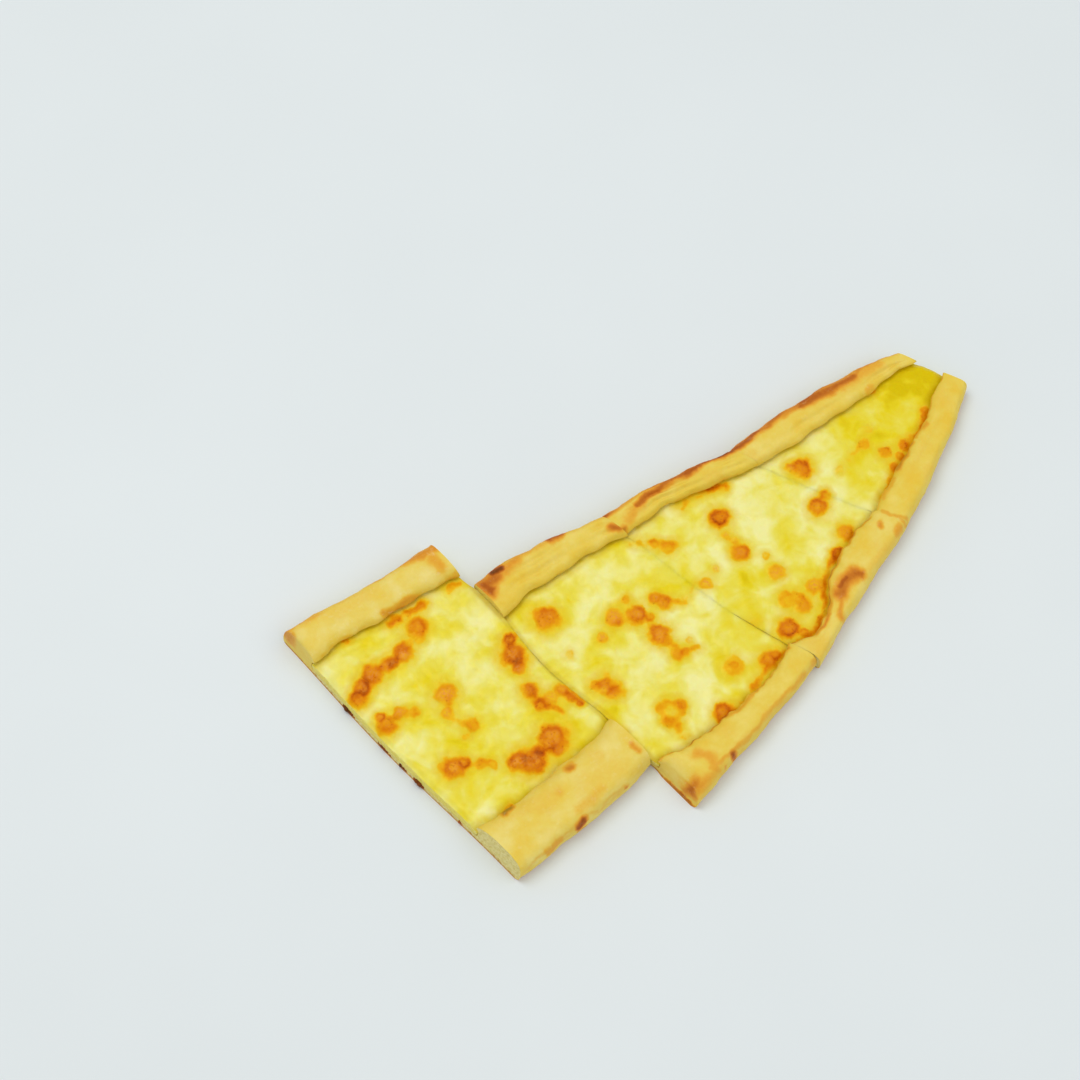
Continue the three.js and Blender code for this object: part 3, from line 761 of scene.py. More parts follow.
def dough_rings(piece, stations):
    """Distance across and height of every ring point, share in from the outline, and side."""
    curves = {}
    for side in ("near", "far"):
        width, height = rim_sizes(piece, side, stations)
        curve = smooth_curve(rim_points(width, height), SPAN_STEPS)
        share = curve[..., 0] / width[:, None]
        depth = 0.6 + 0.4 * np.sin(stations[side][:, :1] * CREASE_TURN + width.mean())
        depth = depth * ease(from_cuts(piece, stations["t"]), 0.0, CREASE_FADE)[:, None]
        for crease in piece[side].get("creases", (0.62,)):
            groove = np.exp(-((share - crease) / CREASE_HALF) ** 2) * ease(curve[..., 1], 5.0, 8.0)
            curve[..., 1] = curve[..., 1] - piece[side]["fold"] * groove * depth
        curves[side] = (curve, share)
    far, far_share = curves["far"]
    near, near_share = curves["near"]
    length = stations["length"][:, None]
    step = np.linspace(0, 1, BED_POINTS + 2)[1:-1]
    bed = (length - far[:, -1:, 0]) * (1 - step) + near[:, -1:, 0] * step
    step = np.linspace(0, 1, BOTTOM_POINTS + 2)[1:-1]
    bottom = near[:, :1, 0] * (1 - step) + (length - far[:, :1, 0]) * step
    across = np.hstack([length - far[..., 0], bed, near[:, ::-1, 0], bottom])
    height = np.hstack([far[..., 1], np.full(bed.shape, BASE_THICKNESS), near[:, ::-1, 1],
                        np.zeros(bottom.shape)])
    inward = np.hstack([far_share, np.full(bed.shape, 2.0), near_share[:, ::-1],
                        np.full(bottom.shape, -1.0)])
    side = np.hstack([np.full(far_share.shape, -1), np.zeros(bed.shape),
                      np.full(near_share.shape, 1), np.zeros(bottom.shape)])
    return across, height, inward, side


print("dough ring points", dough_rings(SLICES[0], sections(SLICES[0], 3))[0].shape[1])

# %% [markdown]
# ## What the oven did to the dough
# Bread browns from the outside in: first the outer ridge of each rim and its thin ragged lip,
# then the foot, which lay on the hot stone, then single spots. A blush of gold drifts over all
# of it. The numbers are worked out for every point of the mesh and stored on it, so the finish
# never slides: `toast` for browning, which at slice 3's wide cut also carries painted shade at
# the foot, `pale` for flour and, at slice 3's free end, for painted light, `crumb` and `sole`
# for the cut faces, `oil_and_shade` for the lip that drank fat from the cheese, with painted
# shade down its inner slope, and `skin` where the outside may be roughened. A mark worked out
# in plan alone would be drawn out into upright stripes on a steep wall, so below `WALL_TOP` the
# height takes part in its noise too.

# %% Browning of the crust
WALL_TOP = 8.0
WALL_RUN = 1.6
BLOTCHY, FRAYED = (5.0, 1.3), (1.4, 0.3)
MARKS_FADE = (0.5, 7.0)
RIDGE_AT, RIDGE_HALF, RIDGE_HEIGHTS = 0.13, 0.16, (3.0, 7.0)
LIP_AT, LIP_HALF = 0.985, 0.045
PATCHES, TATTERS = 10.0, 3.2
FOOT_TOAST, FAR_FOOT, NEAR_FOOT = 0.6, (1.6, 0.1), (3.5, 0.2)
BLUSH, BLUSH_SIZE, BLUSH_HEIGHTS = 0.2, 13.0, (7.0, 10.0)


def either(side, far, near):
    """Takes the far rim's value on the far side and the near rim's elsewhere."""
    return np.where(side < 0, far, near)


def oven_marks(piece, point, seed):
    """The listed marks of a slice at each point, fading out above the table."""
    down = WALL_RUN * np.minimum(point[:, 2] - WALL_TOP, 0)
    plan = point[:, :2]
    warp = wander(plan, *BLOTCHY, seed, down) + wander(plan, *FRAYED, seed + 9, down)
    marks = mark_strength(plan, CRUST_MARKS[piece["name"]], warp * (1 - 0.12 * down)[:, None])
    return marks * ease(point[:, 2] + 2.2 * soft_noise(point, 4.0, seed + 2), *MARKS_FADE)


def rim_toast(piece, point, along, inward, side, seed):
    """What browns on any rim: the outer ridge, the ragged lip, the foot and a blush of gold."""
    near, far, height = piece["near"], piece["far"], point[:, 2]
    edge = either(side, through(far["toast"], along), through(near["toast"], along))
    patchy = 0.75 + 0.6 * soft_noise(point, PATCHES, seed + 3)
    ridge = np.exp(-((inward - RIDGE_AT) / RIDGE_HALF) ** 2) * ease(height, *RIDGE_HEIGHTS) * patchy
    ragged = 0.7 + 0.9 * soft_noise(point, TATTERS, seed + 4)
    crisp = 0.12 + 0.75 * either(side, far["crisp"], near["crisp"])
    lip = np.exp(-((inward - LIP_AT) / LIP_HALF) ** 2) * crisp * ragged
    foot = FOOT_TOAST * either(side, ease(height, *FAR_FOOT), ease(height, *NEAR_FOOT))
    drift = ease(soft_noise(point, BLUSH_SIZE, seed + 7), 0.0, 0.6)
    blush = BLUSH * drift * ease(height, *BLUSH_HEIGHTS)
    return np.maximum.reduce([edge * ridge, lip, foot, blush])


print("browning ready for", len(SLICES), "slices")

# %% Looks of a wide cut
# Slice 3's rows are painted shade where its foot meets the table; slice 4's are burnt crust.
CHAR_AND_FOOT_SHADE = {
    "slice_3": [(0.05, 0.05, 0.8), (0.1, 0.04, 0.7)],
    "slice_4": [(0.705, 0.022, 1.0), (0.545, 0.028, 0.85), (0.466, 0.018, 0.95),
                (0.405, 0.022, 0.95), (0.235, 0.012, 0.8)],
}
FOOT_DARK_GRAIN, FOOT_DARK_HEIGHTS = 1.6, (2.4, 1.2)
END_LIGHT_FROM, END_LIGHT_BACK = 0.16, (9.0, 2.0)


def side_of_cut(piece, plan):
    """Share of the way along the wide cut, from the near rim."""
    return share_along(piece["wide"], plan - slide_offset(piece))


def back_from_cut(piece, plan):
    """Distance of each plan point in from the wide cut, in millimetres."""
    near = cut_end(piece["wide"], 1)
    return -(plan - slide_offset(piece) - near) @ square_to(piece["wide"])


def char_and_foot_shade(piece, share, point):
    """How dark the foot of the wide cut goes, burnt crust on slice 4 and painted shade on slice 3:
    each row is a place along it, half its length as a share of the cut, and how dark it went."""
    rough = soft_noise(point, FOOT_DARK_GRAIN, 71)
    char = np.zeros(len(share))
    for place, half, tone in CHAR_AND_FOOT_SHADE.get(piece["name"], ()):
        char = np.maximum(char, tone * np.exp(-((share - place) / half) ** 4))
    return char * ease(point[:, 2] + 0.8 * rough, *FOOT_DARK_HEIGHTS)


def painted_light_end(piece, share, plan):
    """Painted light on a free near end, as pale straw, fading along the cut and back into the
    slice.
    """
    at_end = ease(share, BARED_TO, END_LIGHT_FROM) * ease(back_from_cut(piece, plan), *END_LIGHT_BACK)
    return piece.get("painted_light_end", 0.0) * at_end


print("charred stretches", {name: len(rows) for name, rows in CHAR_AND_FOOT_SHADE.items()})

# %% Build the dough
DOUGH_FACE = 0.62
NOT_BAKED_OVER = (0.0, 1.0, 0.0)
BEYOND_ALL = 2.0
CLOSED_TOAST = 0.12
SMEAR = 0.75
SOLE_HEIGHTS, SKIN_HEIGHTS = (1.1, 0.5), (0.3, 2.5)


def build_dough(piece, seed):
    stations = sections(piece, DOUGH_STATIONS)
    across, height, inward, side = dough_rings(piece, stations)
    mesh, face_of = sweep(piece, "baked_dough", stations, across, height, DOUGH_FACE, seed)
    point = places(mesh)
    extra = len(point) - across.size
    along = np.concatenate([np.repeat(stations["t"], across.shape[1]), np.zeros(extra)])
    inward = np.concatenate([inward.ravel(), np.full(extra, 0.5)])
    side = np.concatenate([side.ravel(), np.zeros(extra)])
    height = point[:, 2]
    share = side_of_cut(piece, point[:, :2])
    at_wide_cut = face_of == 2
    marks = oven_marks(piece, point, seed)
    # Darkened foot of the wide cut: burnt crust on slice 4, painted shade on slice 3.
    char_and_shade = char_and_foot_shade(piece, share, point) * at_wide_cut
    starts, full, strength = piece.get("baked_over", NOT_BAKED_OVER)
    closed = strength * ease(share, starts, full) * at_wide_cut
    toast = np.clip(np.maximum(marks, rim_toast(piece, point, along, inward, side, seed)), 0, 1)
    toast = np.where(side == 0, FOOT_TOAST * ease(height, *FAR_FOOT), toast)
    # Browning, with the darkened foot of the wide cut, which on slice 3 is painted shade.
    paint(mesh, "toast", np.maximum.reduce([toast, char_and_shade, (marks + CLOSED_TOAST) * closed]))
    pale = either(side, piece["far"]["pale"], piece["near"]["pale"])
    # Flour on the rims; at slice 3's free end also painted light on its steep face.
    paint(mesh, "pale", np.maximum(pale, painted_light_end(piece, share, point[:, :2])))
    cut = face_of > 0
    smeared = at_wide_cut & (share > piece.get("smeared_from", BEYOND_ALL))
    paint(mesh, "crumb", cut * (1 - SMEAR * smeared) * (1 - char_and_shade) * (1 - closed))
    uneven = 0.3 * soft_noise(point, 2.0, seed + 6)
    paint(mesh, "sole", cut * ease(height + uneven, *SOLE_HEIGHTS))
    outside = (side != 0) & (inward < 0.99) & (height > SKIN_HEIGHTS[0])
    paint(mesh, "skin", outside * ease(height, *SKIN_HEIGHTS) * off_the_cuts(piece, along))
    # The lip's oil, with painted shade down the inner slope to the cheese.
    paint(mesh, "oil_and_shade", ease(inward, 0.72, 1.0) * (side != 0))
    return mesh


dough_meshes = {}
for number, piece in enumerate(SLICES):
    dough_meshes[piece["name"]] = build_dough(piece, 10 + number)
    print(piece["name"], "dough faces", len(dough_meshes[piece["name"]].polygons))

# %% [markdown]
# ## Melted cheese
# The cheese fills the trough and runs through the slice to both cuts. Its top is the part
# everybody looks at: flat against the rims, a little higher and lumpy inside, with blisters
# standing up out of it. A fine grid carries that relief as real shape, and the browning is
# worked out on the same grid, so that colour and relief belong together. A blister is a dome
# with a brown ring, browner on one side, and a golden halo around it.

# %% Blister fields
PUFF, PUFF_GROWS = 0.45, 0.16
BODY_REACH = 0.88
RING_AT, RING_HALF = 0.6, 0.25
DIMPLE, DIMPLE_REACH, DIMPLED_FROM = 0.35, 0.3, 0.6
BLISTER_HALO, THREAD_HALO = (2.1, 0.9), (3.0, 1.0)
THREAD_BREAKS = 3.6


def add_heat(brown, tint):
    """Heat of two marks together never goes past black."""
    return brown + tint * (1 - brown)


def glow(tone, reach, edge):
    """Golden halo of a mark; edge is where it ends and where it is full."""
    return (0.3 + 0.5 * tone) * ease(reach, *edge)


def blister_fields(plan, rows, warp):
    """Rise, browning, golden halo and pink of the blisters at each plan point; pink is also painted
    highlight.
    """
    rise, brown, halo, pink_and_highlight = (np.zeros(len(plan)) for _ in range(4))
    for number, (x, y, radius, tone, middle) in enumerate(rows):
        aside = (plan + warp * (0.3 + 0.1 * radius) - (x, y)) / radius
        reach = np.linalg.norm(aside, axis=1)
        hot_side = aside @ (math.cos(2.4 * number), math.sin(2.4 * number))
        dome = np.clip(1 - reach * reach, 0, None) ** 1.2
        dimple = DIMPLE * np.exp(-(reach / DIMPLE_REACH) ** 2) * (tone > DIMPLED_FROM)
        puff = (PUFF + PUFF_GROWS * radius) * (0.4 + 0.6 * tone)
        rise = np.maximum(rise, puff * (dome - dimple))
        body = np.exp(-(reach / BODY_REACH) ** 3)
        ring = np.exp(-((reach - RING_AT) / RING_HALF) ** 2)
        crisp = 0.24 + 0.14 * math.sin(1.7 * number) + 0.2 * hot_side
        tint = tone * (0.58 * body * (1 + 0.12 * hot_side) + crisp * ring)
        if middle < 0:
            tint = tint * (1 + middle * ease(reach, 0.75, 0.2))
        brown = add_heat(brown, np.clip(tint, 0, 1))
        halo = add_heat(halo, glow(tone, reach, BLISTER_HALO))
        pink_and_highlight = np.maximum(pink_and_highlight, max(middle, 0.1 * tone) * ease(reach, 0.8, 0.1))
    return rise, brown, halo, pink_and_highlight


def thread_fields(plan, rows, warp):
    """Browning and golden halo of the browned threads."""
    brown, halo = np.zeros(len(plan)), np.zeros(len(plan))
    broken = 0.35 + 0.65 * ease(soft_noise(flat(plan), THREAD_BREAKS, 47), -0.45, 0.25)
    for half_width, tone, path in rows:
        reach = reach_of(plan + 0.9 * warp, path) / half_width
        brown = add_heat(brown, 0.8 * tone * broken * np.exp(-(reach / 0.9) ** 2))
        halo = add_heat(halo, glow(tone, reach, THREAD_HALO))
    return brown, halo


print("a single blister rises mm", blister_fields(
    np.zeros((1, 2)), [(0, 0, 5, 0.5, 0)], np.zeros((1, 2)))[0].round(2))

# %% Cheese rings
CHEESE_EDGE = 6.2
CHEESE_GRID = 0.4
CHEESE_STATIONS = 165
UNDER_POINTS = 60
SIDE_STEP = 0.9
EDGE_ROUND = 0.15


def cheese_rings(piece, stations):
    """Distance across and height of the cheese rings; the top has its final height later."""
    near_width, _ = rim_sizes(piece, "near", stations)
    far_width, _ = rim_sizes(piece, "far", stations)
    clear = LIP_HANG - LAYER_GAP
    start = (near_width - clear)[:, None]
    end = (stations["length"] - far_width + clear)[:, None]
    bottom = BASE_THICKNESS + LAYER_GAP
    foot = clear - WALL_FOOT + LAYER_GAP + EDGE_ROUND
    count = int((end - start).max() / CHEESE_GRID)
    step = np.linspace(0, 1, count)[::-1]
    top = (start + EDGE_ROUND) * (1 - step) + (end - EDGE_ROUND) * step
    base = np.linspace(0, 1, UNDER_POINTS)
    under = (start + foot) * (1 - base) + (end - foot) * base
    side_heights = (bottom + SIDE_STEP, bottom + 2 * SIDE_STEP, CHEESE_EDGE - 0.5)
    across = np.hstack([under] + [end] * 3 + [top] + [start] * 3)
    level = np.ones_like(start)
    height = np.hstack([np.full(under.shape, bottom)] + [h * level for h in side_heights]
                       + [np.full(top.shape, CHEESE_EDGE)]
                       + [h * level for h in side_heights[::-1]])
    is_top = np.zeros(across.shape)
    is_top[:, under.shape[1] + 3:under.shape[1] + 3 + count] = 1
    from_rim = np.minimum(across - start, end - across)
    return across, height, is_top, from_rim


print("cheese ring points", cheese_rings(SLICES[0], sections(SLICES[0], 3))[0].shape[1])

# %% [markdown]
# ## Cheese from rim to rim
# Marks near a cut reach over into the slice next door, as one sheet of cheese was baked before
# the knife came. At a cut that stayed open the edge sinks a little and gets a painted olive
# shade for the narrow gap, which `seam_dip_and_shade` records; at a free cut it slumps. `rich`
# says how yellow the cheese is: a slow drift along the half, with two richer pools.

# %% Cheese along the cuts
POOL_SWIRL = (5.0, 1.2, 30)
FREE_ENDS = {("slice_1", 1), ("slice_4", 2)}
RICH_ALONG = [(-140, 0.35), (-60, 0.3), (-40, 0.2), (45, 0.15),
              (71, 0.3), (100, 0.66), (120, 0.95), (136, 1.4)]
RICH_POOLS = [(5.0, 1.5, [(-44.5, -24.5)]), (7.0, 0.5, [(-107, -29)])]
FREE_SLUMP, SEAM_SLUMP, MERGED_SHARE = 1.3, 0.9, 0.95


def reaching(piece, marks):
    """Marks that may reach into a slice: its own, and next door's if it hasn't slid away."""
    if piece.get("slid"):
        return marks[piece["name"]]
    return [row for other in SLICES if not other.get("slid") for row in marks[other["name"]]]


def cut_edges(piece, stations, plan):
    """Closeness of every ring point to a cut shared with a neighbour, and to a free one."""
    t = np.repeat(stations["t"], len(plan) // len(stations["t"]))
    seam_dip_and_shade, free = np.zeros(len(plan)), np.zeros(len(plan))
    unslid = plan - slide_offset(piece)
    for end, away in ((1, t * slice_length(piece)), (2, (1 - t) * slice_length(piece))):
        if (piece["name"], end) in FREE_ENDS:
            free = np.exp(-(away / FREE_SLUMP) ** 2)
            continue
        still_open = 1 - MERGED_SHARE * merged_cut(piece, end, unslid)
        seam_dip_and_shade = np.maximum(seam_dip_and_shade, np.exp(-(away / SEAM_SLUMP) ** 2) * still_open)
    return seam_dip_and_shade, free


def richness(plan):
    """How yellow the cheese is at each plan point."""
    drift = np.interp(plan[:, 0], *zip(*RICH_ALONG)) + 0.3 * soft_noise(flat(plan), 16.0, 35)
    return drift + mark_strength(plan, RICH_POOLS, wander(plan, *POOL_SWIRL))


print("marks that reach slice_2", len(reaching(SLICES[1], BLISTERS)))

# %% Build the cheese
CHEESE_RISE = 0.9
CHEESE_RIPPLE = 0.28
LUMPS = ((8.0, 0.42, 30), (3.0, 0.24, 31))
STRAND_SIZE, STRAND_RISE, STREAK_RISE = 3.4, 0.14, 0.25
SWIRLS = ((5.0, 1.2, 30), (2.2, 0.9, 39), (0.9, 0.35, 44))
EDGE_FLAT = (0.2, 5.0)
SEAM_SINKS = 0.45
CHEESE_FACE = 0.5


def top_relief(plan, streak):
    """Ripples, strands and lumps of the cheese's top, in millimetres."""
    x, y = plan.T
    ripple = CHEESE_RIPPLE * (wave(3.1 * x + 1.4 * y, 0.7) + wave(3.6 * y - 1.1 * x, 2.9))
    strands = 1 - 2 * np.abs(soft_noise(flat(plan), STRAND_SIZE, 33))
    lumps = sum(rise * soft_noise(flat(plan), size, seed) for size, rise, seed in LUMPS)
    return CHEESE_RISE + 0.6 * ripple + (lumps + STRAND_RISE * strands + STREAK_RISE * streak)


def build_cheese(piece, seed):
    stations = sections(piece, CHEESE_STATIONS)
    across, height, is_top, from_rim = cheese_rings(piece, stations)
    plan = plan_places(piece, stations, slice(None), across, height).reshape(-1, 2)
    from_rim = from_rim.ravel()
    warp = sum(wander(plan, *swirl) for swirl in SWIRLS)
    rise, brown, halo, pink_and_highlight = blister_fields(plan, reaching(piece, BLISTERS), warp)
    streak, streak_halo = thread_fields(plan, reaching(piece, THREADS), warp)
    brown, halo = add_heat(brown, streak), add_heat(halo, streak_halo)
    seam_dip_and_shade, free = cut_edges(piece, stations, plan)
    inside_edge = ease(from_rim, *EDGE_FLAT)
    lift = inside_edge * (top_relief(plan, streak) + rise) - SEAM_SINKS * seam_dip_and_shade - free
    height = height + np.where(is_top > 0, lift.reshape(height.shape), 0.0)
    mesh, face_of = sweep(piece, "melted_cheese", stations, across, height, CHEESE_FACE, seed)

    def with_faces(values):
        return np.concatenate([values, np.zeros(len(face_of) - across.size)])

    top = with_faces(is_top.ravel())
    t = np.repeat(stations["t"], across.shape[1])
    frothy = np.clip(brown * 1.4 - 0.25, 0, 1) * ease(from_rim, 0.5, 2.0)
    paint(mesh, "brown", with_faces(brown * ease(from_rim, -0.2, 0.5)))
    paint(mesh, "halo", with_faces(halo))
    # Pink middles of the blisters, which also paint their highlights.
    paint(mesh, "pink_and_highlight", with_faces(pink_and_highlight))
    paint(mesh, "skin", top * with_faces(inside_edge * off_the_cuts(piece, t)))
    # Near the rims: the oil there, and painted olive shade where the rims meet the cheese.
    paint(mesh, "oil_and_shade", with_faces(ease(from_rim, 5.5, 0.3)))
    # Painted olive shade along the open cuts.
    paint(mesh, "seam_dip_and_shade", with_faces(seam_dip_and_shade * is_top.ravel()))
    paint(mesh, "rich", richness(places(mesh)[:, :2]))
    paint(mesh, "froth", top * with_faces(frothy))
    paint(mesh, "crumb", face_of > 0)
    return mesh


cheese_meshes = {}
for number, piece in enumerate(SLICES):
    mesh = build_cheese(piece, 30 + number)
    cheese_meshes[piece["name"]] = mesh
    print(piece["name"], "cheese faces", len(mesh.polygons),
          "top mm", places(mesh)[:, 2].max().round(2))

# %% [markdown]
# ## Baked dough, as a finish
# Under a hot oven's flame bread goes from pale straw through gold and orange to nearly black.
# A colour ramp holds those steps, and the `toast` number of each point, broken up by noise,
# chooses among them. Floury rims start from a paler straw. The cut face is matt crumb with a
# thin brown line where the dough lay on the oven floor. A finish is a tree of nodes with many
# small sums in it, so a few short helpers come first: they keep the trees readable.

# %% Colour helpers


def baked(red, green, blue):
    """A colour as it looks, 0 to 255, as the linear values that a shader works in."""
    def straight(value):
        value = value / 255
        return value / 12.92 if value <= 0.04045 else ((value + 0.055) / 1.055) ** 2.4
    return (straight(red), straight(green), straight(blue), 1.0)


def grey(value):
    return (value, value, value, 1.0)


def new_finish(name):
    material = bpy.data.materials.new(name)
    material.use_nodes = True
    tree = material.node_tree
    return material, tree, tree.nodes["Principled BSDF"]


print("straw as linear", [round(v, 3) for v in baked(227, 203, 109)])

# %% Helpers for any node tree


def put(tree, kind, **settings):
    """Adds a node; a setting goes to the socket of that name, or else to the node itself."""
    node = tree.nodes.new(kind)
    for key, value in settings.items():
        if key in node.inputs:
            node.inputs[key].default_value = value
        else:
            setattr(node, key, value)
    return node


def link(tree, *pairs):
    for start, end in pairs:
        tree.links.new(start, end)


def feed(tree, socket, value):
    """Gives a socket a plain value, or links it to where the value comes from."""
    if isinstance(value, (int, float, tuple)):
        socket.default_value = value
    else:
        tree.links.new(value, socket)


def reckon(tree, operation, *values, clamp=False):
    """A number worked out by a tree from sockets or plain numbers."""
    node = put(tree, "ShaderNodeMath", operation=operation, use_clamp=clamp)
    for socket, value in zip(node.inputs, values):
        feed(tree, socket, value)
    return node.outputs[0]


def plus(tree, first, second, clamp=False):
    return reckon(tree, "ADD", first, second, clamp=clamp)


def times(tree, first, second, clamp=False):
    return reckon(tree, "MULTIPLY", first, second, clamp=clamp)


def less(tree, first, second):
    return reckon(tree, "SUBTRACT", first, second)


print("node helpers ready")

# %% Helpers for finishes


def stored(tree, name):
    """The number painted on the mesh under a name."""
    return put(tree, "ShaderNodeAttribute", attribute_name=name).outputs["Fac"]


def speckle(tree, size, detail=3.0, roughness=0.55, swirl=0.0):
    """Noise on the piece's own coordinates; size is in millimetres."""
    place = put(tree, "ShaderNodeTexCoord")
    node = put(tree, "ShaderNodeTexNoise", Scale=1.0 / (size * MM), Detail=detail,
               Roughness=roughness, Distortion=swirl)
    link(tree, (place.outputs["Object"], node.inputs["Vector"]))
    return node.outputs["Fac"]


def swing(tree, value, amount):
    """Noise turned into a number between about -amount/2 and amount/2."""
    return times(tree, less(tree, value, 0.5), amount)


def ramp(tree, value, stops):
    """Colour steps along a value; stops are (position, colour)."""
    node = tree.nodes.new("ShaderNodeValToRGB")
    bar = node.color_ramp
    bar.elements[0].position, bar.elements[0].color = stops[0]
    bar.elements[1].position, bar.elements[1].color = stops[-1]
    for position, colour in stops[1:-1]:
        bar.elements.new(position).color = colour
    link(tree, (value, node.inputs[0]))
    return node.outputs["Color"]


def graded(tree, value, low, high, start=0.0, end=1.0):
    """A share that goes from start to end while the value goes from low to high."""
    return ramp(tree, value, [(low, grey(start)), (high, grey(end))])


def blend(tree, share, under, over):
    """Mixes two colours by a share that varies over the surface."""
    node = put(tree, "ShaderNodeMix", data_type="RGBA")
    link(tree, (share, node.inputs["Factor"]))
    feed(tree, node.inputs[6], under)
    feed(tree, node.inputs[7], over)
    return node.outputs[2]


def relief(tree, shader, height, distance, strength):
    bump = put(tree, "ShaderNodeBump", Distance=distance * MM, Strength=strength)
    link(tree, (height, bump.inputs["Height"]), (bump.outputs["Normal"], shader.inputs["Normal"]))


def let_light_in(shader, weight, radius):
    """A little light enters soft food; radius is how far each colour spreads, in mm."""
    shader.inputs["Subsurface Weight"].default_value = weight
    shader.inputs["Subsurface Radius"].default_value = tuple(r * MM for r in radius)
    shader.inputs["Subsurface Scale"].default_value = 1.0


def warm_shine(shader, level, tint):
    """Gloss on fatty food takes up some of the food's own colour."""
    shader.inputs["Specular IOR Level"].default_value = level
    shader.inputs["Specular Tint"].default_value = tint


print("finish helpers ready")

# %% Crust finish
CRUST_HEAT = [(0.1, baked(233, 202, 84)), (0.3, baked(232, 184, 66)),
              (0.45, baked(229, 163, 50)), (0.6, baked(215, 134, 38)),
              (0.78, baked(180, 92, 22)), (0.9, baked(138, 64, 10)), (1.0, baked(92, 46, 10))]
GOLDEN_STRAW = [(0.3, baked(236, 212, 96)), (0.5, baked(232, 203, 78)),
                (0.68, baked(233, 195, 62))]
FLOURY_STRAW = [(0.3, baked(239, 221, 138)), (0.5, baked(235, 212, 108)),
                (0.68, baked(233, 203, 84))]
BREAD_CRUMB = [(0.35, baked(238, 226, 154)), (0.65, baked(219, 202, 118))]
# Oil in the lip, and painted shade on the rim's inner slope.
OILED_AND_SHADED_LIP = baked(221, 190, 50)
SOLE_BROWN = baked(182, 120, 40)
FLOUR = baked(243, 233, 186)
CRUST_CLOUDS, CRUST_GRAIN, FLOUR_SPECKS = 9.0, 1.3, 2.4
CRUST_SHINE = (1.0, 0.85, 0.35, 1.0)


def make_crust():
    material, tree, shader = new_finish("baked_crust")
    cloud = speckle(tree, CRUST_CLOUDS)
    fine = speckle(tree, CRUST_GRAIN, detail=4.0)
    straw = blend(tree, stored(tree, "pale"), ramp(tree, cloud, GOLDEN_STRAW),
                  ramp(tree, cloud, FLOURY_STRAW))
    heat = plus(tree, stored(tree, "toast"), swing(tree, fine, 0.14), clamp=True)
    colour = blend(tree, graded(tree, heat, 0.06, 0.32), straw, ramp(tree, heat, CRUST_HEAT))
    colour = blend(tree, times(tree, stored(tree, "oil_and_shade"), 0.4), colour, OILED_AND_SHADED_LIP)
    colour = blend(tree, stored(tree, "crumb"), colour, ramp(tree, fine, BREAD_CRUMB))
    colour = blend(tree, stored(tree, "sole"), colour, SOLE_BROWN)
    specks = speckle(tree, FLOUR_SPECKS, detail=6.0, roughness=0.7)
    dusting = times(tree, graded(tree, specks, 0.56, 0.76, end=0.4), stored(tree, "pale"))
    colour = blend(tree, dusting, colour, FLOUR)
    roughness = graded(tree, cloud, 0.3, 0.7, 0.7, 0.52)
    link(tree, (colour, shader.inputs["Base Color"]), (roughness, shader.inputs["Roughness"]))
    warm_shine(shader, 0.3, CRUST_SHINE)
    let_light_in(shader, 0.12, (2.2, 1.4, 0.6))
    relief(tree, shader, fine, 0.12, 0.5)
    return material


crust_finish = make_crust()
print("finish", crust_finish.name)

# %% [markdown]
# ## Melted cheese, as a finish
# Melted kashar is a pale milky yellow with brighter, oilier veins where the fat has parted, and
# an olive gold line along the rims, which is oil and painted shade where the rims meet it. It
# lets a little light in, so it gets some subsurface scattering. Blisters go gold, orange and
# brown from the outside in, and their puffed middles turn a porous pink that also paints their
# highlights. Open cuts get a painted olive shade, and the cut faces are painted paler, as
# painted light, since they turn away from the lamps.

# %% Cheese finish
CHEESE_HEAT = [(0.06, baked(236, 206, 48)), (0.2, baked(238, 188, 26)),
               (0.36, baked(234, 164, 12)), (0.52, baked(228, 140, 4)),
               (0.68, baked(216, 114, 0)), (0.84, baked(190, 84, 0)), (0.97, baked(156, 58, 0))]
MILKY_TO_YOLK = [(0.12, baked(243, 239, 160)), (0.34, baked(239, 231, 124)),
                 (0.52, baked(235, 222, 84)), (0.78, baked(233, 212, 34)),
                 (0.98, baked(220, 194, 8))]
# Cheese at the cut faces, raised in colour as painted light, since these faces turn away from the
# lamps.
LIT_SLICED_CHEESE = [(0.35, baked(241, 227, 116)), (0.65, baked(230, 211, 76))]
# Olive gold along the rims: oil, and painted shade where the rims meet the cheese.
OIL_AND_SHADE_OLIVE = baked(214, 186, 12)
# Painted shade of the narrow gap at an open cut.
SEAM_SHADE_OLIVE = baked(196, 158, 10)
HALO_GOLD = baked(230, 197, 28)
# Pink of the puffed middles, also used as painted highlight.
PINK_AND_HIGHLIGHT_COLOUR = baked(232, 152, 70)
CHEESE_CLOUDS, CHEESE_VEINS, BLOTCHES, CHEESE_GRAIN = 15.0, 8.0, 2.6, 0.9
CHEESE_SHINE = (1.0, 0.8, 0.12, 1.0)


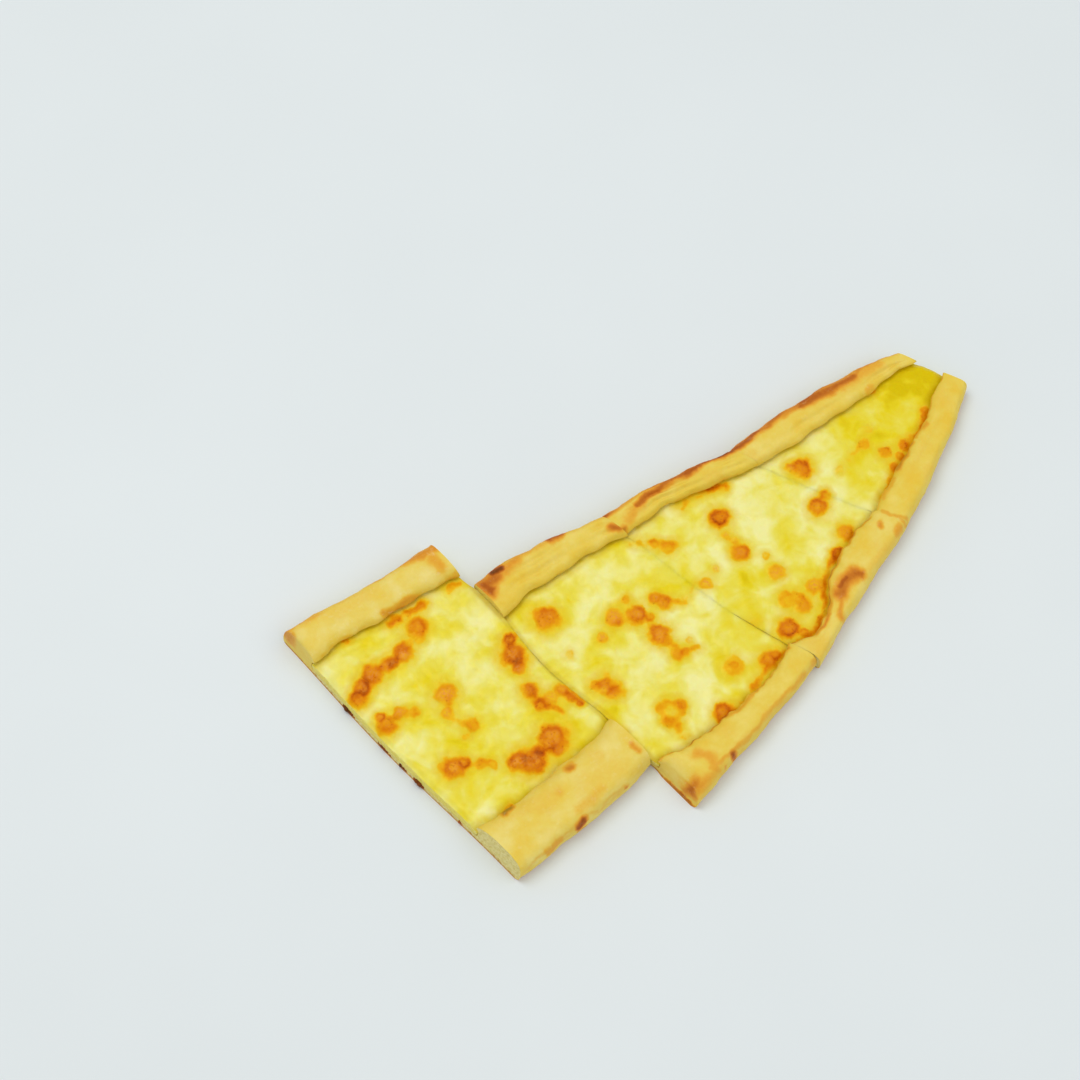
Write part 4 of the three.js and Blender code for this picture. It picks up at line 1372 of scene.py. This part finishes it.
def make_cheese():
    material, tree, shader = new_finish("melted_cheese")
    cloud = speckle(tree, CHEESE_CLOUDS, detail=2.0, swirl=0.3)
    veins = speckle(tree, CHEESE_VEINS, detail=2.0, swirl=0.5)
    fine = speckle(tree, CHEESE_GRAIN, detail=4.0)
    yolk = plus(tree, plus(tree, swing(tree, cloud, 1.3), swing(tree, veins, 0.8)),
                times(tree, stored(tree, "rich"), 0.45))
    # Painted shade with oil: the olive line along the rims.
    edge = times(tree, stored(tree, "oil_and_shade"), times(tree, veins, 1.2), clamp=True)
    colour = blend(tree, edge, ramp(tree, plus(tree, yolk, 0.3), MILKY_TO_YOLK), OIL_AND_SHADE_OLIVE)
    # Painted shade at the open cuts.
    colour = blend(tree, times(tree, stored(tree, "seam_dip_and_shade"), 0.5), colour, SEAM_SHADE_OLIVE)
    uneven = swing(tree, speckle(tree, BLOTCHES, detail=4.0), 0.27)
    halo = plus(tree, stored(tree, "halo"), uneven, clamp=True)
    colour = blend(tree, graded(tree, halo, 0.1, 0.85, end=0.8), colour, HALO_GOLD)
    blotchy = plus(tree, times(tree, uneven, stored(tree, "halo")),
                   times(tree, swing(tree, fine, 0.5), stored(tree, "brown")))
    heat = plus(tree, stored(tree, "brown"), blotchy, clamp=True)
    colour = blend(tree, graded(tree, heat, 0.03, 0.2), colour, ramp(tree, heat, CHEESE_HEAT))
    # Speckled pink, partly the blisters' painted highlights.
    pink_speckle = graded(tree, fine, 0.4, 0.62, end=0.9)
    colour = blend(tree, times(tree, stored(tree, "pink_and_highlight"), pink_speckle), colour, PINK_AND_HIGHLIGHT_COLOUR)
    # Cut faces in their paler colour, which is painted light.
    colour = blend(tree, stored(tree, "crumb"), colour, ramp(tree, fine, LIT_SLICED_CHEESE))
    roughness = graded(tree, veins, 0.35, 0.65, 0.42, 0.28)
    link(tree, (colour, shader.inputs["Base Color"]), (roughness, shader.inputs["Roughness"]))
    warm_shine(shader, 0.35, CHEESE_SHINE)
    let_light_in(shader, 0.3, (3.0, 2.2, 0.8))
    link(tree, (graded(tree, stored(tree, "brown"), 0.1, 0.6, 0.3, 0.05),
                shader.inputs["Subsurface Weight"]))
    relief(tree, shader, fine, 0.12, 0.5)
    return material


cheese_finish = make_cheese()
print("finish", cheese_finish.name)

# %% [markdown]
# ## Roughening the skins with Geometry Nodes
# Fine relief follows the surface everywhere by one rule: push each point along its normal by
# noise. That is just what a small node tree does well. The tree takes its depths and sizes as
# named inputs, so that the dough and the cheese can share it, and it ends by setting the finish.
# It runs once, its result is kept as a plain mesh, and the modifier is taken off again.

# %% Helpers for geometry trees


def new_tree(name, numbers):
    """A node group with a mesh, named numbers and a finish as its inputs."""
    tree = bpy.data.node_groups.new(name, "GeometryNodeTree")
    face = tree.interface
    face.new_socket("Geometry", in_out="INPUT", socket_type="NodeSocketGeometry")
    for number in numbers:
        face.new_socket(number, in_out="INPUT", socket_type="NodeSocketFloat")
    face.new_socket("Seed", in_out="INPUT", socket_type="NodeSocketInt")
    face.new_socket("Finish", in_out="INPUT", socket_type="NodeSocketMaterial")
    face.new_socket("Geometry", in_out="OUTPUT", socket_type="NodeSocketGeometry")
    return tree, tree.nodes.new("NodeGroupInput").outputs


def painted(tree, name):
    """The number painted on the mesh under a name, for a geometry tree."""
    node = put(tree, "GeometryNodeInputNamedAttribute", data_type="FLOAT", Name=name)
    return node.outputs["Attribute"]


def noise_field(tree, size, seed):
    """Noise between about -0.5 and 0.5 over the surface."""
    where = put(tree, "GeometryNodeInputPosition")
    texture = put(tree, "ShaderNodeTexNoise", noise_dimensions="4D", Detail=3.0)
    link(tree, (where.outputs[0], texture.inputs["Vector"]), (seed, texture.inputs["W"]),
         (reckon(tree, "DIVIDE", 1.0, size), texture.inputs["Scale"]))
    return less(tree, texture.outputs[0], 0.5)


def push_out(tree, geometry, distance):
    """Moves every point along its normal."""
    outward = put(tree, "GeometryNodeInputNormal")
    shift = put(tree, "ShaderNodeVectorMath", operation="SCALE")
    moved = put(tree, "GeometryNodeSetPosition")
    link(tree, (outward.outputs[0], shift.inputs[0]), (distance, shift.inputs["Scale"]),
         (geometry, moved.inputs["Geometry"]), (shift.outputs[0], moved.inputs["Offset"]))
    return moved.outputs[0]


def close_tree(tree, given, geometry):
    """Every tree ends alike: plain mesh, then its finish."""
    real = put(tree, "GeometryNodeRealizeInstances")
    finish = put(tree, "GeometryNodeSetMaterial")
    result = put(tree, "NodeGroupOutput")
    link(tree, (geometry, real.inputs[0]), (real.outputs[0], finish.inputs[0]),
         (given["Finish"], finish.inputs["Material"]), (finish.outputs[0], result.inputs[0]))
    return tree


def run_tree(holder, tree, **inputs):
    """Runs a node tree on an object and returns the result as a plain mesh."""
    modifier = holder.modifiers.new(tree.name, "NODES")
    modifier.node_group = tree
    sockets = {item.name: item.identifier for item in tree.interface.items_tree
               if item.in_out == "INPUT"}
    for name, value in inputs.items():
        modifier[sockets[name.replace("_", " ")]] = value
    graph = bpy.context.evaluated_depsgraph_get()
    graph.update()
    mesh = bpy.data.meshes.new_from_object(holder.evaluated_get(graph),
                                           preserve_all_data_layers=True, depsgraph=graph)
    holder.modifiers.remove(modifier)
    return mesh


print("geometry helpers ready")

# %% Skin tree
PORE_WALL = 0.55


def make_skin_tree():
    tree, given = new_tree("roughened_skin", ("Lump Depth", "Lump Size", "Grain Depth",
                                              "Grain Size", "Pore Depth", "Pore Size"))
    lumps = times(tree, noise_field(tree, given["Lump Size"], given["Seed"]),
                  given["Lump Depth"])
    grain = times(tree, noise_field(tree, given["Grain Size"], given["Seed"]),
                  given["Grain Depth"])
    raised = times(tree, plus(tree, lumps, grain), painted(tree, "skin"))
    where = put(tree, "GeometryNodeInputPosition")
    holes = put(tree, "ShaderNodeTexVoronoi")
    link(tree, (where.outputs[0], holes.inputs["Vector"]),
         (reckon(tree, "DIVIDE", 1.0, given["Pore Size"]), holes.inputs["Scale"]))
    pit = reckon(tree, "MAXIMUM", less(tree, PORE_WALL, holes.outputs["Distance"]), 0.0)
    pores = times(tree, times(tree, pit, given["Pore Depth"]), painted(tree, "crumb"))
    distance = less(tree, raised, pores)
    return close_tree(tree, given, push_out(tree, given["Geometry"], distance))


skin_tree = make_skin_tree()
print("tree", skin_tree.name, "nodes", len(skin_tree.nodes))

# %% Finished pieces
SHARPEST_CURVE = 58


def in_metres(**sizes):
    """Sizes given in millimetres, for the inputs of a tree."""
    return {name: size * MM for name, size in sizes.items()}


def finished_piece(mesh, name, tree, **inputs):
    """A plain mesh piece in the scene, made by running a tree over a mesh."""
    holder = into_scene(name, mesh)
    holder.data = run_tree(holder, tree, **inputs)
    holder.data.name = name
    holder.data.polygons.foreach_set("use_smooth", [True] * len(holder.data.polygons))
    holder.data.set_sharp_from_angle(angle=math.radians(SHARPEST_CURVE))
    return holder


def triangles(piece):
    piece.data.calc_loop_triangles()
    return len(piece.data.loop_triangles)


print("normals stay smooth up to", SHARPEST_CURVE, "degrees")

# %% Skins of the dough and the cheese
DOUGH_SKIN = in_metres(Lump_Depth=1.7, Lump_Size=8, Grain_Depth=0.3, Grain_Size=1.6,
                       Pore_Depth=1.0, Pore_Size=1.7)
CHEESE_SKIN = in_metres(Lump_Depth=0.35, Lump_Size=2.6, Grain_Depth=0.16, Grain_Size=1.1,
                        Pore_Depth=0.4, Pore_Size=1.4)

pieces = {}
for name, mesh in dough_meshes.items():
    pieces[name + "_dough"] = finished_piece(
        mesh, name + "_baked_dough", skin_tree, Seed=3, Finish=crust_finish, **DOUGH_SKIN)
for name, mesh in cheese_meshes.items():
    pieces[name + "_cheese"] = finished_piece(
        mesh, name + "_melted_cheese", skin_tree, Seed=8, Finish=cheese_finish, **CHEESE_SKIN)
for node, piece in pieces.items():
    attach(piece, "root")
    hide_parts(node)
    print(node, "triangles", triangles(piece))

# %% [markdown]
# ## Froth on the browned cheese
# Where cheese browns, it has boiled, and tiny bubbles are left standing in the crust. Nobody
# would place them one by one: a node tree scatters them where the `froth` number is high, sinks
# them half into the cheese and gives each its own size. All of them together are one piece.

# %% Froth tree


def make_froth_tree():
    tree, given = new_tree("scattered_froth", ("Per Square Metre", "Smallest", "Largest"))
    scatter = put(tree, "GeometryNodeDistributePointsOnFaces")
    ball = put(tree, "GeometryNodeMeshIcoSphere", Radius=1.0, Subdivisions=2)
    size = put(tree, "FunctionNodeRandomValue", data_type="FLOAT")
    place = put(tree, "GeometryNodeInstanceOnPoints")
    density = times(tree, painted(tree, "froth"), given["Per Square Metre"])
    link(tree, (given["Geometry"], scatter.inputs["Mesh"]), (density, scatter.inputs["Density"]),
         (given["Seed"], scatter.inputs["Seed"]),
         (scatter.outputs["Points"], place.inputs["Points"]),
         (ball.outputs["Mesh"], place.inputs["Instance"]), (given["Smallest"], size.inputs[2]),
         (given["Largest"], size.inputs[3]), (given["Seed"], size.inputs["Seed"]),
         (size.outputs[1], place.inputs["Scale"]))
    return close_tree(tree, given, place.outputs["Instances"])


froth_tree = make_froth_tree()
print("tree", froth_tree.name, "nodes", len(froth_tree.nodes))

# %% Froth of all slices
CARRIED = ("froth", "brown", "halo", "pink_and_highlight", "rich")
FROTH_PER_SQUARE_METRE = 0.35e6
BUBBLES = in_metres(Smallest=0.12, Largest=0.38)


def numbers_of(mesh, name):
    values = np.empty(len(mesh.vertices), dtype=np.float32)
    mesh.attributes[name].data.foreach_get("value", values)
    return values


def browned_skin(cheeses):
    """Only the browned top faces of all the slices, as one mesh to scatter on."""
    points, faces, total = [], [], 0
    kept = {name: [] for name in CARRIED}
    for cheese in cheeses:
        count = len(cheese.polygons)
        starts, sizes = np.empty(count, np.int32), np.empty(count, np.int32)
        cheese.polygons.foreach_get("loop_start", starts)
        cheese.polygons.foreach_get("loop_total", sizes)
        corners = np.empty(len(cheese.loops), np.int32)
        cheese.loops.foreach_get("vertex_index", corners)
        quads = corners[starts[sizes == 4][:, None] + np.arange(4)]
        quads = quads[(numbers_of(cheese, "froth")[quads] > 0).all(axis=1)]
        used, renamed = np.unique(quads, return_inverse=True)
        points.append(places(cheese)[used] * MM)
        faces.append(renamed.reshape(-1, 4) + total)
        total += len(used)
        for name in CARRIED:
            kept[name].append(numbers_of(cheese, name)[used])
    skin = bpy.data.meshes.new("browned_skin")
    skin.from_pydata(np.concatenate(points).tolist(), [], np.concatenate(faces).tolist())
    for name in CARRIED:
        paint(skin, name, np.concatenate(kept[name]))
    return skin


cheeses = [piece.data for node, piece in pieces.items() if node.endswith("cheese")]
froth = finished_piece(
    browned_skin(cheeses), "cheese_froth", froth_tree,
    Per_Square_Metre=FROTH_PER_SQUARE_METRE, Seed=5, Finish=cheese_finish, **BUBBLES)
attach(froth, "root")
print("froth triangles", triangles(froth))

# %% [markdown]
# ## Char at the foot of the broad cut
# The knife broke some burnt crust off the underside, and the crumbs cling along the foot of the
# widest cut. A row places each: its share of the way along the cut from the near rim, its
# height, its radius and how black it went. They are few and cling only where the crust broke,
# so they are listed rather than scattered. A tree sets a rough ball on every place, turns it
# at random and makes it uneven, so that no two look alike.

# %% Char crumbs
CRUMBS = [
    (0.722, 1.6, 1.0, 0.95), (0.711, 1.6, 1.3, 1.0), (0.7, 1.5, 1.1, 1.0),
    (0.689, 1.4, 0.9, 0.9), (0.678, 1.2, 0.7, 0.8), (0.57, 1.2, 0.7, 0.9),
    (0.559, 1.4, 0.9, 0.95), (0.547, 1.4, 1.0, 0.9), (0.535, 1.3, 0.8, 0.95),
    (0.523, 1.2, 0.7, 0.9), (0.478, 1.5, 1.0, 1.0), (0.467, 1.4, 0.9, 0.95),
    (0.457, 1.2, 0.7, 0.9), (0.421, 1.5, 0.9, 0.85), (0.411, 1.7, 1.3, 0.95),
    (0.4, 1.7, 1.4, 0.95), (0.389, 1.4, 1.0, 0.9), (0.24, 1.2, 0.8, 0.85),
    (0.8, 0.9, 0.5, 0.8), (0.334, 0.9, 0.5, 0.8), (0.889, 0.9, 0.5, 0.7),
]
CRUMB_INSET = 1.2
FULL_TURN = 6.28


def foot_of_cut(cut, share):
    """Plan point just within the foot of the slid slice's broad cut."""
    near, far = cut_end(cut, 1), cut_end(cut, -1)
    point = near + share * (far - near)
    outward = bow_of(cut, point) + BROAD_SLANT - CRUMB_INSET
    return point + outward * square_to(cut) + slide_offset(SLICES[3])


def crumb_points():
    points = bpy.data.meshes.new("crumb_points")
    feet = [foot_of_cut(BROAD_CUT, share) for share, *_ in CRUMBS]
    points.from_pydata([(x * MM, y * MM, row[1] * MM) for (x, y), row in zip(feet, CRUMBS)],
                       [], [])
    paint(points, "size", [size * MM for _, _, size, _ in CRUMBS])
    paint(points, "toast", [tone for *_, tone in CRUMBS])
    return points


def make_crumb_tree():
    tree, given = new_tree("rough_crumbs", ("Rough Depth", "Rough Size"))
    ball = put(tree, "GeometryNodeMeshIcoSphere", Radius=1.0, Subdivisions=4)
    turn = put(tree, "FunctionNodeRandomValue", data_type="FLOAT_VECTOR")
    turn.inputs[1].default_value = (FULL_TURN, FULL_TURN, FULL_TURN)
    place = put(tree, "GeometryNodeInstanceOnPoints")
    real = put(tree, "GeometryNodeRealizeInstances")
    link(tree, (given["Geometry"], place.inputs["Points"]),
         (ball.outputs["Mesh"], place.inputs["Instance"]), (given["Seed"], turn.inputs["Seed"]),
         (turn.outputs[0], place.inputs["Rotation"]),
         (painted(tree, "size"), place.inputs["Scale"]),
         (place.outputs["Instances"], real.inputs[0]))
    push = times(tree, noise_field(tree, given["Rough Size"], given["Seed"]),
                 given["Rough Depth"])
    return close_tree(tree, given, push_out(tree, real.outputs[0], push))


crumbs = finished_piece(
    crumb_points(), "char_crumbs", make_crumb_tree(), Seed=2, Finish=crust_finish,
    **in_metres(Rough_Depth=1.1, Rough_Size=0.9))
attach(crumbs, "root")
print("crumbs", len(CRUMBS), "faces", len(crumbs.data.polygons))

# %% [markdown]
# ## Table and light
# A plain pale table, one soft lamp high on the far left and a wider one on the near right, as in
# a small food studio, with even light from all round. The colours are shown straight, without a
# film curve, and the lamps are just strong enough for a level surface to show its own colour,
# since the finishes above were chosen by how they look.

# %% Table
TABLE_REACH = 4
TABLE_TONES = [(0.3, baked(224, 231, 232)), (0.7, baked(227, 234, 235))]
TABLE_CLOUDS = 180.0
TABLE_CORNERS = [(-TABLE_REACH, -TABLE_REACH, 0), (TABLE_REACH, -TABLE_REACH, 0),
                 (TABLE_REACH, TABLE_REACH, 0), (-TABLE_REACH, TABLE_REACH, 0)]

table_mesh = bpy.data.meshes.new("table")
table_mesh.from_pydata(TABLE_CORNERS, [], [(0, 1, 2, 3)])
table_top = into_scene("table", table_mesh)
table_finish, table_tree, table_shader = new_finish("pale_table")
tone = ramp(table_tree, speckle(table_tree, TABLE_CLOUDS), TABLE_TONES)
link(table_tree, (tone, table_shader.inputs["Base Color"]))
table_shader.inputs["Roughness"].default_value = 0.6
table_top.data.materials.append(table_finish)
print("table", 2 * TABLE_REACH, "m wide")

# %% Light
WINDOW = dict(place=(-400, 500, 1500), width=900, power=7.4)
FILL = dict(place=(900, -600, 1300), width=1400, power=5.4)
SKY = 0.615


def lamp(name, place, width, power):
    """A round soft lamp that looks down at the middle of the table."""
    light = bpy.data.lights.new(name, "AREA")
    light.shape = "DISK"
    light.size = width * MM
    light.energy = power
    return stand(name, light, place, (0, 0, 0))


lamp("window", **WINDOW)
lamp("fill", **FILL)
world = bpy.data.worlds.new("studio")
bpy.context.scene.world = world
world.use_nodes = True
world.node_tree.nodes["Background"].inputs["Color"].default_value = grey(1)
world.node_tree.nodes["Background"].inputs["Strength"].default_value = SKY
bpy.context.scene.view_settings.view_transform = "Standard"
bpy.context.scene.view_settings.look = "None"
